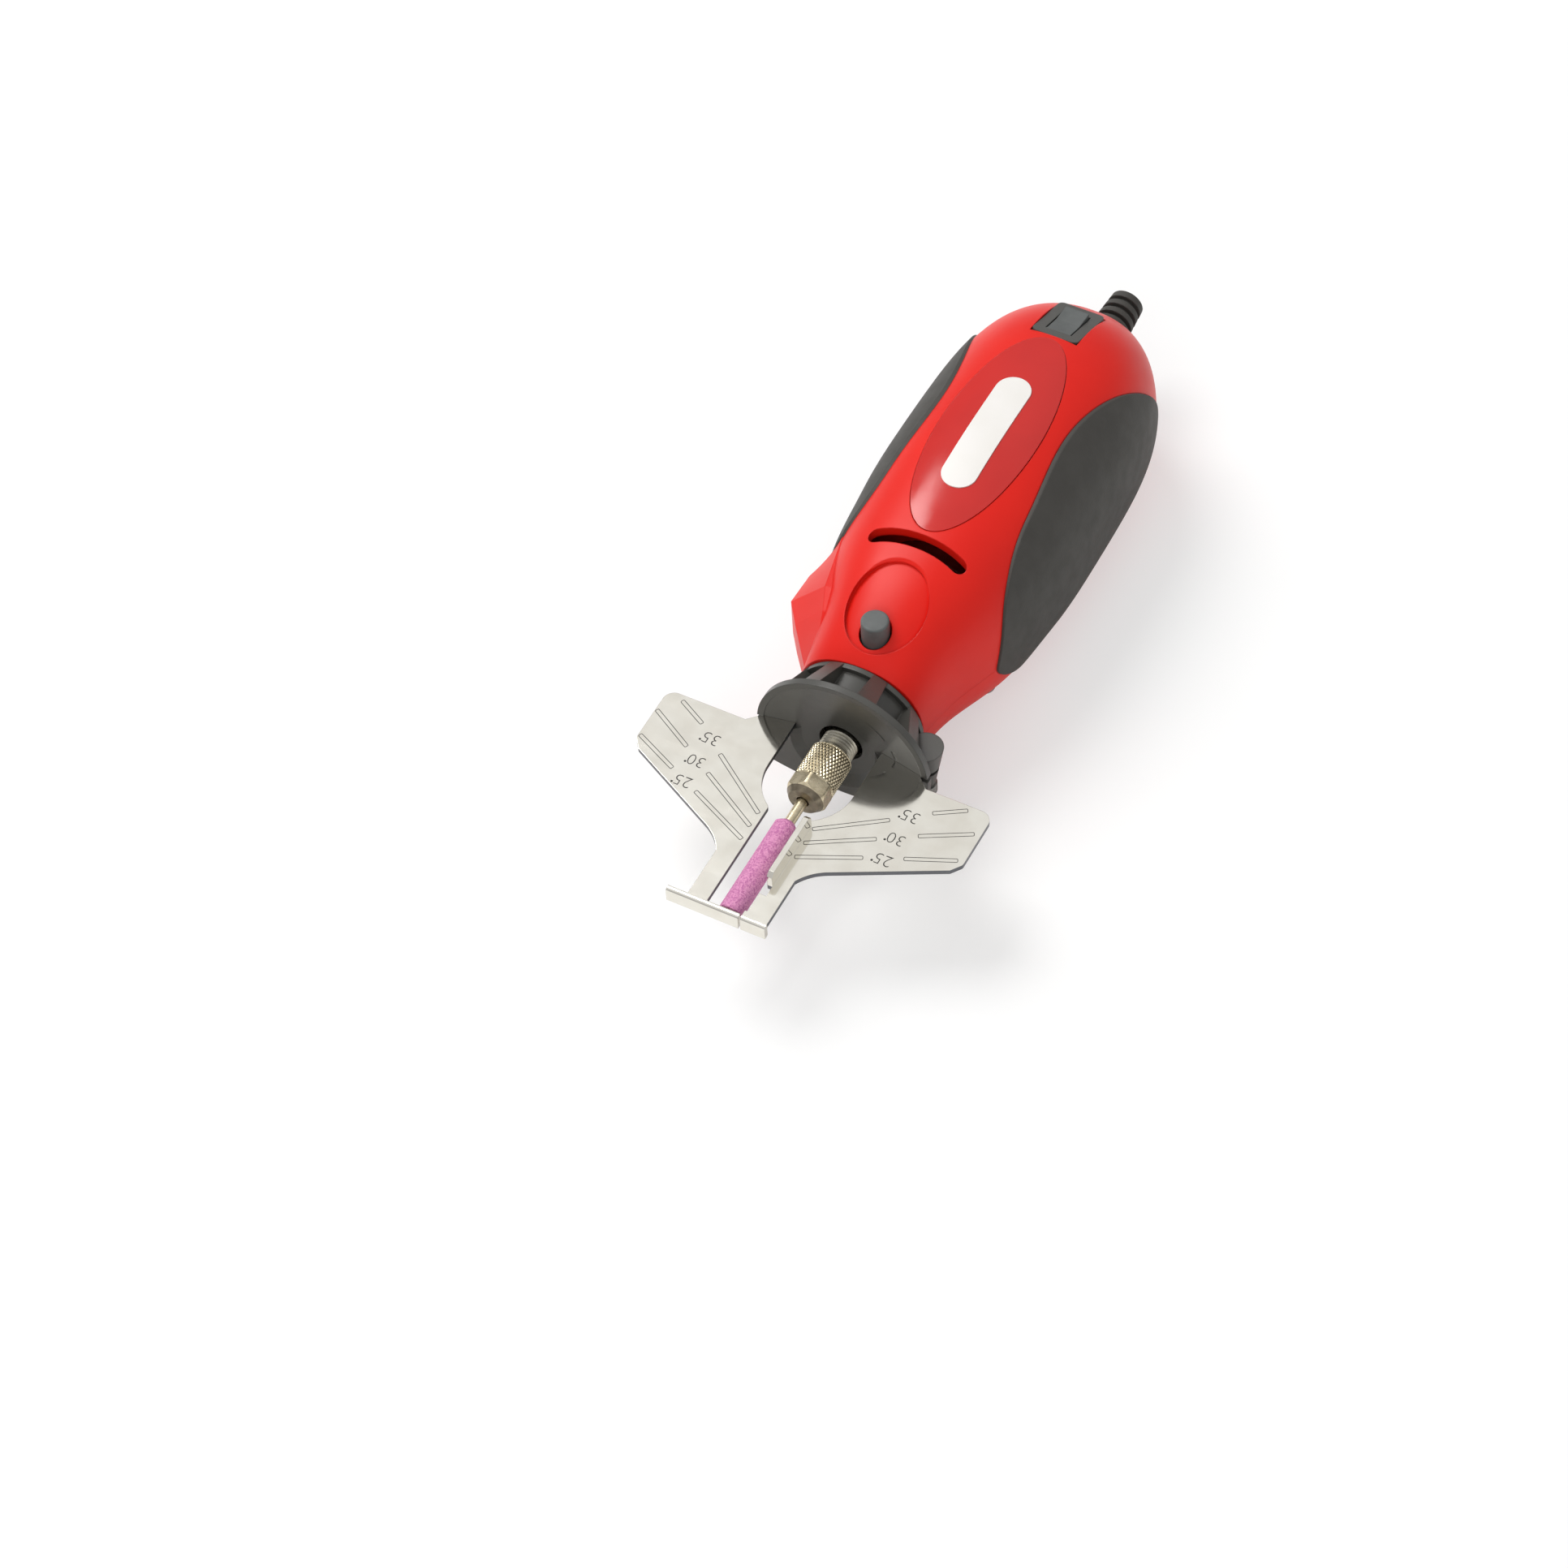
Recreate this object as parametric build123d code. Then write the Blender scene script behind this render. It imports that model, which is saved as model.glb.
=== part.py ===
from build123d import *
import math
import os

# Hand-held electric chainsaw sharpener, 12 V, with a steel guide plate
# Lengths in millimetres. While a piece is drawn, X runs along the spindle towards
# the grinding stone, Y is to the side, Z is up, and zero is the middle of the
# collar's front face. Each piece is then moved so that the finished tool stands
# on Z = 0, centred in X and Y.

overrun = 2.0
running_gap = 0.3
shaft_clearance = 0.03
fit_clearance = 0.1
full_turn = 360.0
half_turn = 180.0
quarter_turn = 90.0

# Handle body: stations along the tool, each with half width, top and bottom height
nose_rear = 12.4
body_stations = (12.4, 20.0, 28.0, 36.0, 46.0, 60.0, 80.0, 100.0, 114.0, 122.0, 127.0)
body_half_widths = (14.6, 15.8, 18.2, 21.0, 23.0, 24.2, 24.5, 23.8, 20.8, 16.4, 11.4)
body_tops = (14.6, 19.6, 22.8, 24.8, 26.3, 27.7, 28.2, 27.0, 23.4, 18.2, 12.6)
body_bottoms = (13.6, 14.2, 15.4, 17.4, 19.6, 21.4, 22.0, 21.0, 18.0, 14.0, 10.2)
body_roundness_share = 2.35
body_outline_points = 28
wall = 2.2
front_wall = 3.4
rear_wall = 2.4

# Raised finger shoulder on the left flank, as five-sided slices
shoulder_stations = (13.0, 23.5, 28.5, 42.0, 62.0)
shoulder_side = (13.4, 21.6, 25.2, 24.6, 22.0)
shoulder_ridge_side = (11.6, 14.6, 16.6, 19.4, 18.0)
shoulder_ridge_height = (7.0, 13.6, 15.2, 15.6, 13.0)
shoulder_side_top = (3.0, 5.2, 5.6, 6.0, 5.0)
shoulder_side_bottom = (3.0, 4.6, 5.0, 5.0, 4.0)
shoulder_foot = (7.5, 10.0, 11.5, 12.5, 12.0)
shoulder_root = 6.0

# Rubber side grips, drawn from the side as an upper and a lower edge
grip_upper_stations = (35.0, 37.0, 40.6, 48.8, 60.7, 74.0, 92.0, 106.0)
grip_upper_heights = (1.0, 7.6, 14.2, 19.6, 22.6, 24.2, 22.8, 16.0)
grip_lower_stations = (114.0, 108.0, 95.0, 75.0, 52.0, 40.0)
grip_lower_heights = (3.0, 9.0, 13.0, 14.0, 12.0, 6.0)
grip_depth = 1.6
grip_proud = 0.5
grip_inner_side = 9.0

# Glossy oval inlay and the blank pill on it
inlay_centre = 73.5
inlay_half_length = 30.0
inlay_half_width = 11.2
inlay_depth = 1.0
inlay_proud = 0.15
pill_centre = 72.3
pill_length = 33.5
pill_width = 8.0
pill_thickness = 0.25

# Thumb dish, lock button and its spring
button_station = 19.8
button_radius = 3.05
button_hole_radius = 3.5
button_top = 22.0
button_bottom = 12.4
button_flange_radius = 4.1
button_flange_thickness = 1.2
button_flange_top = 14.4
button_guide_wall = 1.2
button_edge = 0.5
button_travel = 2.2
lock_pin_radius = 1.4
lock_hole_radius = 1.6
lock_pin_overlap = 3.0
spring_radius = 2.4
spring_wire = 0.45
spring_turns = 3
spring_seat_radius = 3.6
spring_seat_height = 8.4
dish_station = 25.0
dish_half_length = 10.7
dish_half_width = 8.7
dish_depth = 1.2
dish_wall_angle = 60.0
dish_tilt = 20.0

# Vent slot across the top
vent_station = 40.5
vent_length = 19.4
vent_width = 3.6
vent_arch_radius = 42.0

# Nose sleeve, bearings and spindle
sleeve_radius = 10.5
sleeve_front = 4.6
sleeve_rear = 31.0
sleeve_flange_radius = 12.2
sleeve_flange_front = 13.4
sleeve_flange_rear = 14.8
sleeve_bore = 6.2
bearing_outer = 8.0
bearing_width = 5.0
bearing_front_station = 6.4
bearing_race = 1.3
bearing_balls = 8
ball_radius = 1.1
spindle_radius = 4.0
thread_depth = 0.42
thread_pitch = 0.75
thread_front = 9.4
thread_rear = 3.0
spindle_stub_radius = 3.0
spindle_stub_rear = 35.0
collet_bore = 2.75
collet_bore_rear = 4.0
collet_cone_depth = 2.2

# Collet, its nut, the shank and the grinding stone
collet_front = 12.2
collet_head_radius = 3.3
collet_slit = 0.5
shank_radius = 1.19
shank_rear = 2.0
stone_rear = 21.0
stone_front = 46.9
stone_radius = 2.72
stone_shoulder = 1.1
nut_rear = 1.4
nut_hex_rear = 9.7
nut_cone_rear = 13.2
nut_front = 14.6
nut_knurl_radius = 4.8
nut_hex_across = 9.1
nut_corner_radius = 5.0
nut_front_radius = 3.4
nut_mouth_radius = 1.7
nut_face = 0.6
nut_seat_gap = 0.4
knurl_ribs = 36
knurl_depth = 0.25
knurl_width = 0.4

# Guide collar
collar_radius = 20.2
collar_offset_side = 1.7
collar_offset_up = 0.9
collar_rim_width = 1.5
collar_rim_depth = 1.6
collar_dish_edge = 0.3
collar_dish_depth = 2.9
collar_web = 1.6
collar_hole_radius = 5.0
collar_rib_radius = 19.0
collar_floor_radius = 13.7
collar_rear = 12.1
collar_band = 1.2
collar_ribs = 9
collar_rib_first = 20.0
collar_rib_angle = 13.0
chin_height = 12.9
chin_half_width = 16.0
chin_relief_front = 10.6
chin_relief_rear = 8.0
chin_arc_radius = 60.0
lug_station = 6.4
lug_side = 18.2
lug_radius = 3.9
lug_tip_radius = 1.9
lug_top = 4.6
lug_bottom = 7.2
lug_split = 1.2
lug_split_height = 1.6
clamp_screw_radius = 1.25
clamp_screw_top = 3.2
clamp_head_radius = 2.3
clamp_head_height = 2.4
clamp_socket_across = 2.0
clamp_socket_depth = 1.2

# Guide plate: its outline from above, and the lip and end flanges
plate_under = 1.65
plate_thickness = 1.2
wing_rear = 2.3
wing_root_sides = (17.6, 20.2)
wing_root_depth = 2.8
wing_step = 2.4
wing_side = 38.4
wing_front_inner = 16.6
wing_tip_front = 19.0
wing_tip_side = 36.6
wing_root_station = 30.4
wing_root_side = 14.3
wing_corner = 1.4
wing_rear_corner = 2.6
root_relief = 0.1
leg_side = 9.2
leg_front = 47.6
leg_fillet = 5.0
opening_half_width = 10.0
opening_depth = 10.8
opening_end = 20.6
slot_half_width = 4.1
slot_left = 4.7
slot_fillet = 1.0
tongue_inner = 11.5
tongue_outer = 14.2
tongue_length = 8.0
lip_rear = 21.4
lip_front = 38.7
lip_height = 3.9
lip_thickness = 1.2
lip_gap = 0.5
lip_notch_length = 2.6
lip_notch_depth = 1.6
lip_slope = 1.0
bend_share = 0.7
flange_drop = 2.5
flange_thickness = 1.2
flange_overhang = 4.6
flange_slot_end = 3.0
flange_gap = 0.5
rivet_radius = 1.2
rivet_station = 5.2
rivet_side = 12.9
rivet_bottom = 3.5

# Motor, fan and coupling
coupler_radius = 5.4
coupler_front = 31.6
coupler_rear = 40.2
fan_front = 41.0
fan_rear = 44.4
fan_radius = 12.6
fan_hub_radius = 3.6
fan_disc = 0.8
fan_blades = 9
fan_blade_thickness = 0.9
motor_front = 46.0
motor_rear = 86.0
motor_radius = 13.9
motor_wall = 1.1
motor_boss_radius = 4.8
motor_boss_length = 1.0
motor_shaft_radius = 1.6
motor_shaft_front = 36.0
motor_shaft_rear = 90.5
magnet_thickness = 2.6
magnet_angle = 130.0
magnet_front = 51.0
magnet_rear = 78.0
core_radius = 9.4
core_front = 53.0
core_rear = 75.0
core_hub_radius = 3.4
core_slots = 5
core_slot_width = 2.0
core_slot_depth = 4.6
winding_overhang = 3.4
winding_radius = 8.2
commutator_radius = 3.2
commutator_front = 79.0
commutator_rear = 84.4
endcap_length = 4.0
endcap_lip = 1.6
bush_radius = 3.0
bush_length = 3.0
brush_length = 4.6
brush_width = 2.4
brush_height = 3.2
brush_station = 82.0
terminal_side = 6.0
terminal_width = 2.8
terminal_thickness = 0.6
terminal_length = 5.5
capacitor_radius = 3.2
capacitor_thickness = 1.6
capacitor_lead = 0.3
capacitor_station = 91.6

# Bulkheads and screws that hold the two half shells together
rib_thickness = 2.0
sleeve_rib_station = 26.5
motor_rib_stations = (51.0, 80.0)
boss_radius = 3.0
boss_places = ((37.5, 16.3), (98.0, 15.0))
screw_radius = 1.25
screw_head_radius = 2.4
screw_head_height = 1.6
screw_reach = 9.0
screw_slot_across = 2.0
screw_slot_depth = 1.0
screw_recess = 2.2

# Rocker switch behind the inlay
switch_station = 112.0
switch_tilt = 21.5
switch_length = 13.0
switch_width = 8.6
switch_depth = 11.0
switch_bezel_length = 16.0
switch_bezel_width = 11.0
switch_bezel_height = 1.4
switch_pad_height = 21.9
switch_wall = 1.2
rocker_length = 10.0
rocker_width = 5.6
rocker_thickness = 4.2
rocker_gap = 0.35
rocker_pivot_depth = 1.2
rocker_pivot_radius = 0.8
rocker_rest = 7.0
rocker_room = 4.6
switch_blade_length = 4.0

# Cord gland at the rear end
gland_bore = 2.6
gland_radius = 5.0
gland_tip_radius = 3.9
gland_front = 121.5
gland_rear = 143.0
gland_collar_radius = 6.6
gland_collar_length = 2.0
gland_grooves = 5
gland_groove_width = 1.2
gland_groove_depth = 0.9

# Inside wiring
wire_radius = 0.7
wire_drop = 2.4

length_ahead = leg_front + flange_thickness
length_behind = gland_rear
move_x = (length_behind - length_ahead) / 2


def box(x0, x1, y0, y1, z0, z1):
    middle = Pos((x0 + x1) / 2, (y0 + y1) / 2, (z0 + z1) / 2)
    return middle * Box(abs(x1 - x0), abs(y1 - y0), abs(z1 - z0))


def rod_x(radius, x0, x1, y=0, z=0):
    return Pos((x0 + x1) / 2, y, z) * Rot(0, quarter_turn, 0) * Cylinder(radius, abs(x1 - x0))


def tube_x(outer, inner, x0, x1):
    low, high = min(x0, x1), max(x0, x1)
    return rod_x(outer, low, high) - rod_x(inner, low - overrun, high + overrun)


def rod_z(radius, z0, z1, x=0, y=0):
    return Pos(x, y, (z0 + z1) / 2) * Cylinder(radius, abs(z1 - z0))


def cone_x(radius0, radius1, x0, x1):
    points = [(x0, 0), (x0, radius0), (x1, radius1), (x1, 0)]
    return revolve(make_face(Polyline(points, close=True)), Axis.X, full_turn)


def prism_x(across, x0, x1, sides=6, turn=0):
    radius = across / 2 / math.cos(math.pi / sides)
    section = Plane.YZ * (Rot(0, 0, turn) * RegularPolygon(radius, sides))
    return Pos(min(x0, x1), 0, 0) * extrude(section, abs(x1 - x0), dir=(1, 0, 0))


def height_at(station, heights):
    # the straight line between the two stations on either side
    for k in range(len(body_stations) - 1):
        near, far = body_stations[k], body_stations[k + 1]
        if near <= station <= far:
            share = (station - near) / (far - near)
            return heights[k] + (heights[k + 1] - heights[k]) * share
    return heights[-1]


def belly_at(station, side):
    # how far the belly lies below the middle at a distance to the side
    share = side / height_at(station, body_half_widths)
    return height_at(station, body_bottoms) * (1 - share ** body_roundness_share) ** (
        1 / body_roundness_share)


def body_slice(station, half_width, top, bottom, grow):
    # a rounded, slightly squared oval; the lower half has its own depth
    power = 2 / body_roundness_share
    points = []
    for k in range(body_outline_points):
        angle = 2 * math.pi * k / body_outline_points
        c, s = math.cos(angle), math.sin(angle)
        y = math.copysign(abs(c) ** power, c) * (half_width + grow)
        z = math.copysign(abs(s) ** power, s) * ((top if s > 0 else bottom) + grow)
        points.append((-station, y, z))
    return make_face(Spline(points, periodic=True))


def body(grow=0.0):
    slices = []
    for place in zip(body_stations, body_half_widths, body_tops, body_bottoms):
        slices.append(body_slice(*place, grow))
    return loft(slices)


def shoulder():
    slices = []
    for k, station in enumerate(shoulder_stations):
        points = [
            (-station, -shoulder_root, shoulder_ridge_height[k]),
            (-station, -shoulder_ridge_side[k], shoulder_ridge_height[k]),
            (-station, -shoulder_side[k], shoulder_side_top[k]),
            (-station, -shoulder_side[k], -shoulder_side_bottom[k]),
            (-station, -shoulder_root, -shoulder_foot[k]),
        ]
        slices.append(make_face(Polyline(points, close=True)))
    return loft(slices, ruled=True)


def grip_outline():
    points = [(-s, h) for s, h in zip(grip_upper_stations, grip_upper_heights)]
    points += [(-s, -h) for s, h in zip(grip_lower_stations, grip_lower_heights)]
    return make_face(Plane.XZ * Spline(points, periodic=True))


def grip_region(side, gap=0.0):
    reach = max(body_half_widths) + grip_inner_side
    block = extrude(grip_outline(), reach, dir=(0, side, 0))
    inner = side * (grip_inner_side - gap)
    outer = side * reach
    x0, x1 = -max(body_stations), 0
    return block & box(x0, x1, inner, outer, -reach, reach)


def inlay_region(grow=0.0):
    section = Ellipse(inlay_half_length + grow, inlay_half_width + grow)
    return Pos(-inlay_centre, 0, 0) * extrude(section, max(body_tops) + overrun)


def pill_region():
    section = SlotOverall(pill_length, pill_width)
    return Pos(-pill_centre, 0, 0) * extrude(section, max(body_tops) + overrun)


def vent_cut():
    # a slot bent round a centre ahead of it, as wide as its rounded ends
    half_angle = math.degrees(vent_length / 2 / vent_arch_radius)
    outer = vent_arch_radius + vent_width / 2
    inner = vent_arch_radius - vent_width / 2
    ring = Circle(outer) - Circle(inner)
    reach = outer + overrun
    wedge = make_face(Polyline([
        (0, 0),
        (-reach, -reach * math.tan(math.radians(half_angle))),
        (-reach, reach * math.tan(math.radians(half_angle))),
    ], close=True))
    section = ring & wedge
    for sign in (-1, 1):
        a = math.radians(sign * half_angle)
        end = Pos(-vent_arch_radius * math.cos(a), vent_arch_radius * math.sin(a))
        section += end * Circle(vent_width / 2)
    place = Pos(vent_arch_radius - vent_station, 0, body_tops[0])
    return place * extrude(section, max(body_tops))


def thumb_dish():
    # an oval of even depth under the skin, with sloping walls
    oval = extrude(Ellipse(dish_half_length, dish_half_width), dish_depth * 4, taper=-dish_wall_angle)
    low = height_at(dish_station, body_tops) - dish_depth
    block = Pos(-dish_station, 0, low) * Rot(0, dish_tilt, 0) * oval
    core = Pos(-dish_station, 0, low) * Rot(0, dish_tilt, 0) * extrude(
        Ellipse(dish_half_length, dish_half_width), -dish_depth * 4)
    return (block + core) - body(-dish_depth)


def switch_place():
    # the middle of the bezel's underside, leaning with the back
    return Pos(-switch_station, 0, switch_pad_height) * Rot(0, -switch_tilt, 0)


def switch_pad():
    half = switch_bezel_length / 2 + fit_clearance
    side = switch_bezel_width / 2 + fit_clearance
    return switch_place() * box(-half, half, -side, side, 0, switch_depth)


def switch_opening():
    half = switch_length / 2 + fit_clearance
    side = switch_width / 2 + fit_clearance
    return switch_place() * box(-half, half, -side, side, -switch_depth, switch_depth)


def bulkhead(station, bore, inside):
    low = -station - rib_thickness / 2
    high = -station + rib_thickness / 2
    reach = max(body_half_widths) + max(body_tops)
    web = inside & box(low, high, -reach, reach, -reach, reach)
    return web - rod_x(bore, low - overrun, high + overrun)


def shell_block():
    outer = body() + shoulder()
    reach = max(body_half_widths) + max(body_tops)
    cavity_front = -nose_rear - front_wall
    cavity_rear = -max(body_stations) + rear_wall
    room = box(cavity_rear, cavity_front, -reach, reach, -reach, reach)
    inside = body(-wall) & room
    block = outer - inside
    backing = body(-wall / 2) & room
    block += bulkhead(sleeve_rib_station, sleeve_radius + fit_clearance, backing)
    for station in motor_rib_stations:
        block += bulkhead(station, motor_radius + fit_clearance, backing)
    reach_in = body(-wall / 2)
    for station, side in boss_places:
        for sign in (-1, 1):
            post = rod_z(boss_radius, -reach, reach, -station, sign * side)
            block += post & reach_in
    # bore for the sleeve and a groove for its flange
    block -= rod_x(sleeve_radius + fit_clearance, cavity_front - overrun, overrun)
    flange_x0 = -sleeve_flange_rear - fit_clearance
    flange_x1 = -sleeve_flange_front + fit_clearance
    block -= rod_x(sleeve_flange_radius + fit_clearance, flange_x0, flange_x1)
    # rear hole for the cord gland
    block -= rod_x(gland_radius + fit_clearance, -gland_rear, -gland_front)
    collar_x0 = -gland_front - gland_collar_length - fit_clearance
    block -= rod_x(gland_collar_radius + fit_clearance, collar_x0, -gland_front + overrun)
    # pockets for the rubber grips
    skin = outer - body(-grip_depth)
    for side in (-1, 1):
        block -= skin & grip_region(side)
    return block


def upper_shell(block):
    reach = max(body_half_widths) + max(body_tops)
    shell = block & box(-gland_rear, 0, -reach, reach, 0, reach)
    guide = rod_z(button_hole_radius + button_guide_wall, button_flange_top, reach, -button_station)
    shell += guide & body(-wall / 2)
    shell -= rod_z(button_flange_radius + running_gap, sleeve_radius - overrun, button_flange_top,
                   -button_station)
    shell -= thumb_dish()
    shell -= rod_z(button_hole_radius, 0, reach, -button_station)
    shell -= vent_cut()
    shell -= (body(overrun) - body(-inlay_depth)) & inlay_region(fit_clearance)
    shell -= switch_pad()
    shell -= switch_opening()
    for station, side in boss_places:
        for sign in (-1, 1):
            shell -= rod_z(screw_radius, -overrun, screw_reach, -station, sign * side)
    return shell


def lower_shell(block):
    reach = max(body_half_widths) + max(body_tops)
    shell = block & box(-gland_rear, 0, -reach, reach, -reach, 0)
    for station, side in boss_places:
        for sign in (-1, 1):
            y = sign * side
            shell -= rod_z(screw_radius + fit_clearance, -reach, overrun, -station, y)
            top = screw_seat(station, side)
            shell -= rod_z(screw_head_radius + fit_clearance, -reach, top, -station, y)
    return shell


def screw_seat(station, side):
    # the heads sit in counterbores under the belly
    return -belly_at(station, side) + screw_recess + screw_head_height


def housing_screws():
    group = []
    for station, side in boss_places:
        seat = screw_seat(station, side)
        for sign in (-1, 1):
            y = sign * side
            screw = rod_z(screw_radius, seat, screw_reach, -station, y)
            screw += rod_z(screw_head_radius, seat - screw_head_height, seat, -station, y)
            cross = box(-screw_slot_across, screw_slot_across, -wire_radius / 2, wire_radius / 2,
                        -overrun, screw_slot_depth)
            head = Pos(-station, y, seat - screw_head_height)
            screw -= head * cross
            screw -= head * Rot(0, 0, quarter_turn) * cross
            group.append(screw)
    return Compound(children=group)


def side_grip(side):
    skin = body(grip_proud) - body(-grip_depth)
    return skin & grip_region(side)


def inlay_panel():
    skin = body(inlay_proud) - body(-inlay_depth)
    return skin & inlay_region()


def blank_pill():
    skin = body(inlay_proud + pill_thickness) - body(inlay_proud)
    return skin & pill_region()


def nose_sleeve():
    sleeve = rod_x(sleeve_radius, -sleeve_rear, -sleeve_front)
    sleeve += rod_x(sleeve_flange_radius, -sleeve_flange_rear, -sleeve_flange_front)
    sleeve -= rod_x(sleeve_bore, -sleeve_rear - overrun, 0)
    front_seat = -bearing_front_station - bearing_width
    sleeve -= rod_x(bearing_outer, front_seat, overrun)
    rear_seat = -sleeve_rear + bearing_width
    sleeve -= rod_x(bearing_outer, -sleeve_rear - overrun, rear_seat)
    # window for the lock pin and a seat for its spring
    sleeve -= rod_z(lock_pin_radius + fit_clearance, 0, sleeve_radius + overrun, -button_station)
    sleeve -= rod_z(spring_seat_radius, spring_seat_height, sleeve_radius + overrun, -button_station)
    return sleeve


def bearing(x_front):
    x_rear = x_front - bearing_width
    outer = tube_x(bearing_outer, bearing_outer - bearing_race, x_rear, x_front)
    bore = spindle_radius + shaft_clearance
    inner = tube_x(bore + bearing_race, bore, x_rear, x_front)
    middle = (bearing_outer + bore) / 2
    x_mid = (x_rear + x_front) / 2
    groove = Pos(x_mid, 0, 0) * Rot(0, quarter_turn, 0) * Torus(middle, ball_radius)
    pieces = [outer - groove, inner - groove]
    for k in range(bearing_balls):
        turn = Rot(k * full_turn / bearing_balls, 0, 0)
        ball = Pos(x_mid, 0, middle) * Sphere(ball_radius)
        pieces.append(turn * ball)
    return Compound(children=pieces)


def spindle():
    # the front end carries a fine thread, drawn as rings; behind it the shaft is plain
    root = spindle_radius - thread_depth
    points = [(-sleeve_rear, 0), (-sleeve_rear, spindle_radius)]
    rings = int((thread_front + thread_rear) / thread_pitch)
    for k in range(rings, 0, -1):
        x = thread_front - k * thread_pitch
        points.append((x, spindle_radius))
        points.append((x + thread_pitch / 2, root))
    points += [(thread_front, spindle_radius - thread_depth / 2), (thread_front, 0)]
    shaft = revolve(make_face(Polyline(points, close=True)), Axis.X, full_turn)
    shaft += rod_x(spindle_stub_radius, -spindle_stub_rear, -sleeve_rear)
    shaft -= rod_x(collet_bore, -collet_bore_rear, thread_front + overrun)
    cone_rear = thread_front - collet_cone_depth
    shaft -= cone_x(collet_bore, collet_head_radius, cone_rear, thread_front)
    # crossed holes that the lock pin drops into, one every quarter turn
    reach = spindle_radius + overrun
    hole = rod_z(lock_hole_radius, -reach, reach, -button_station)
    shaft -= hole
    shaft -= Rot(quarter_turn, 0, 0) * hole
    return shaft


def collet():
    body_rear = -collet_bore_rear + running_gap
    stem = rod_x(collet_bore - shaft_clearance, body_rear, thread_front - collet_cone_depth)
    rear = thread_front - collet_cone_depth
    head = cone_x(collet_bore - shaft_clearance, collet_head_radius - shaft_clearance,
                  rear, thread_front)
    tip = cone_x(collet_head_radius - shaft_clearance, nut_mouth_radius + nut_seat_gap,
                 thread_front, collet_front)
    whole = stem + head + tip
    whole -= rod_x(shank_radius, -collet_bore_rear - overrun, collet_front + overrun)
    for turn in (0, quarter_turn):
        slit = box(0, collet_front + overrun, -collet_slit / 2, collet_slit / 2,
                   -collet_head_radius, collet_head_radius)
        whole -= Rot(turn, 0, 0) * slit
    return whole


def collet_nut():
    nut = rod_x(nut_knurl_radius, nut_rear, nut_hex_rear)
    knurl = []
    for k in range(knurl_ribs):
        turn = Rot(k * full_turn / knurl_ribs, 0, 0)
        notch = box(nut_rear + nut_face, nut_hex_rear - nut_face, -knurl_width / 2, knurl_width / 2,
                    nut_knurl_radius - knurl_depth, nut_knurl_radius + overrun)
        knurl.append(turn * notch)
    nut = nut.cut(*knurl)
    hexagon = prism_x(nut_hex_across, nut_hex_rear, nut_cone_rear, turn=quarter_turn / 3)
    nut += hexagon & rod_x(nut_corner_radius, nut_hex_rear, nut_cone_rear)
    nut += cone_x(nut_knurl_radius - nut_face, nut_front_radius, nut_cone_rear, nut_front)
    nut -= rod_x(spindle_radius + shaft_clearance, nut_rear - overrun, thread_front + nut_seat_gap)
    inner_cone = cone_x(collet_head_radius + nut_seat_gap, nut_mouth_radius + nut_seat_gap * 2,
                        thread_front + nut_seat_gap, collet_front + nut_seat_gap)
    nut -= inner_cone
    nut -= rod_x(nut_mouth_radius, thread_front, nut_front + overrun)
    return nut


def stone_shank():
    return rod_x(shank_radius, -shank_rear, stone_front - stone_shoulder * 2)


def grinding_stone():
    barrel = rod_x(stone_radius, stone_rear + stone_shoulder, stone_front)
    shoulder_cone = cone_x(stone_radius - stone_shoulder, stone_radius,
                           stone_rear, stone_rear + stone_shoulder)
    whole = barrel + shoulder_cone
    return whole - rod_x(shank_radius, stone_rear - overrun, stone_front - stone_shoulder * 2)


def offset_disc(radius, x):
    # the rim stands a little off the spindle's line
    return Plane.YZ.offset(x) * Pos(collar_offset_side, collar_offset_up) * Circle(radius)


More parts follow.
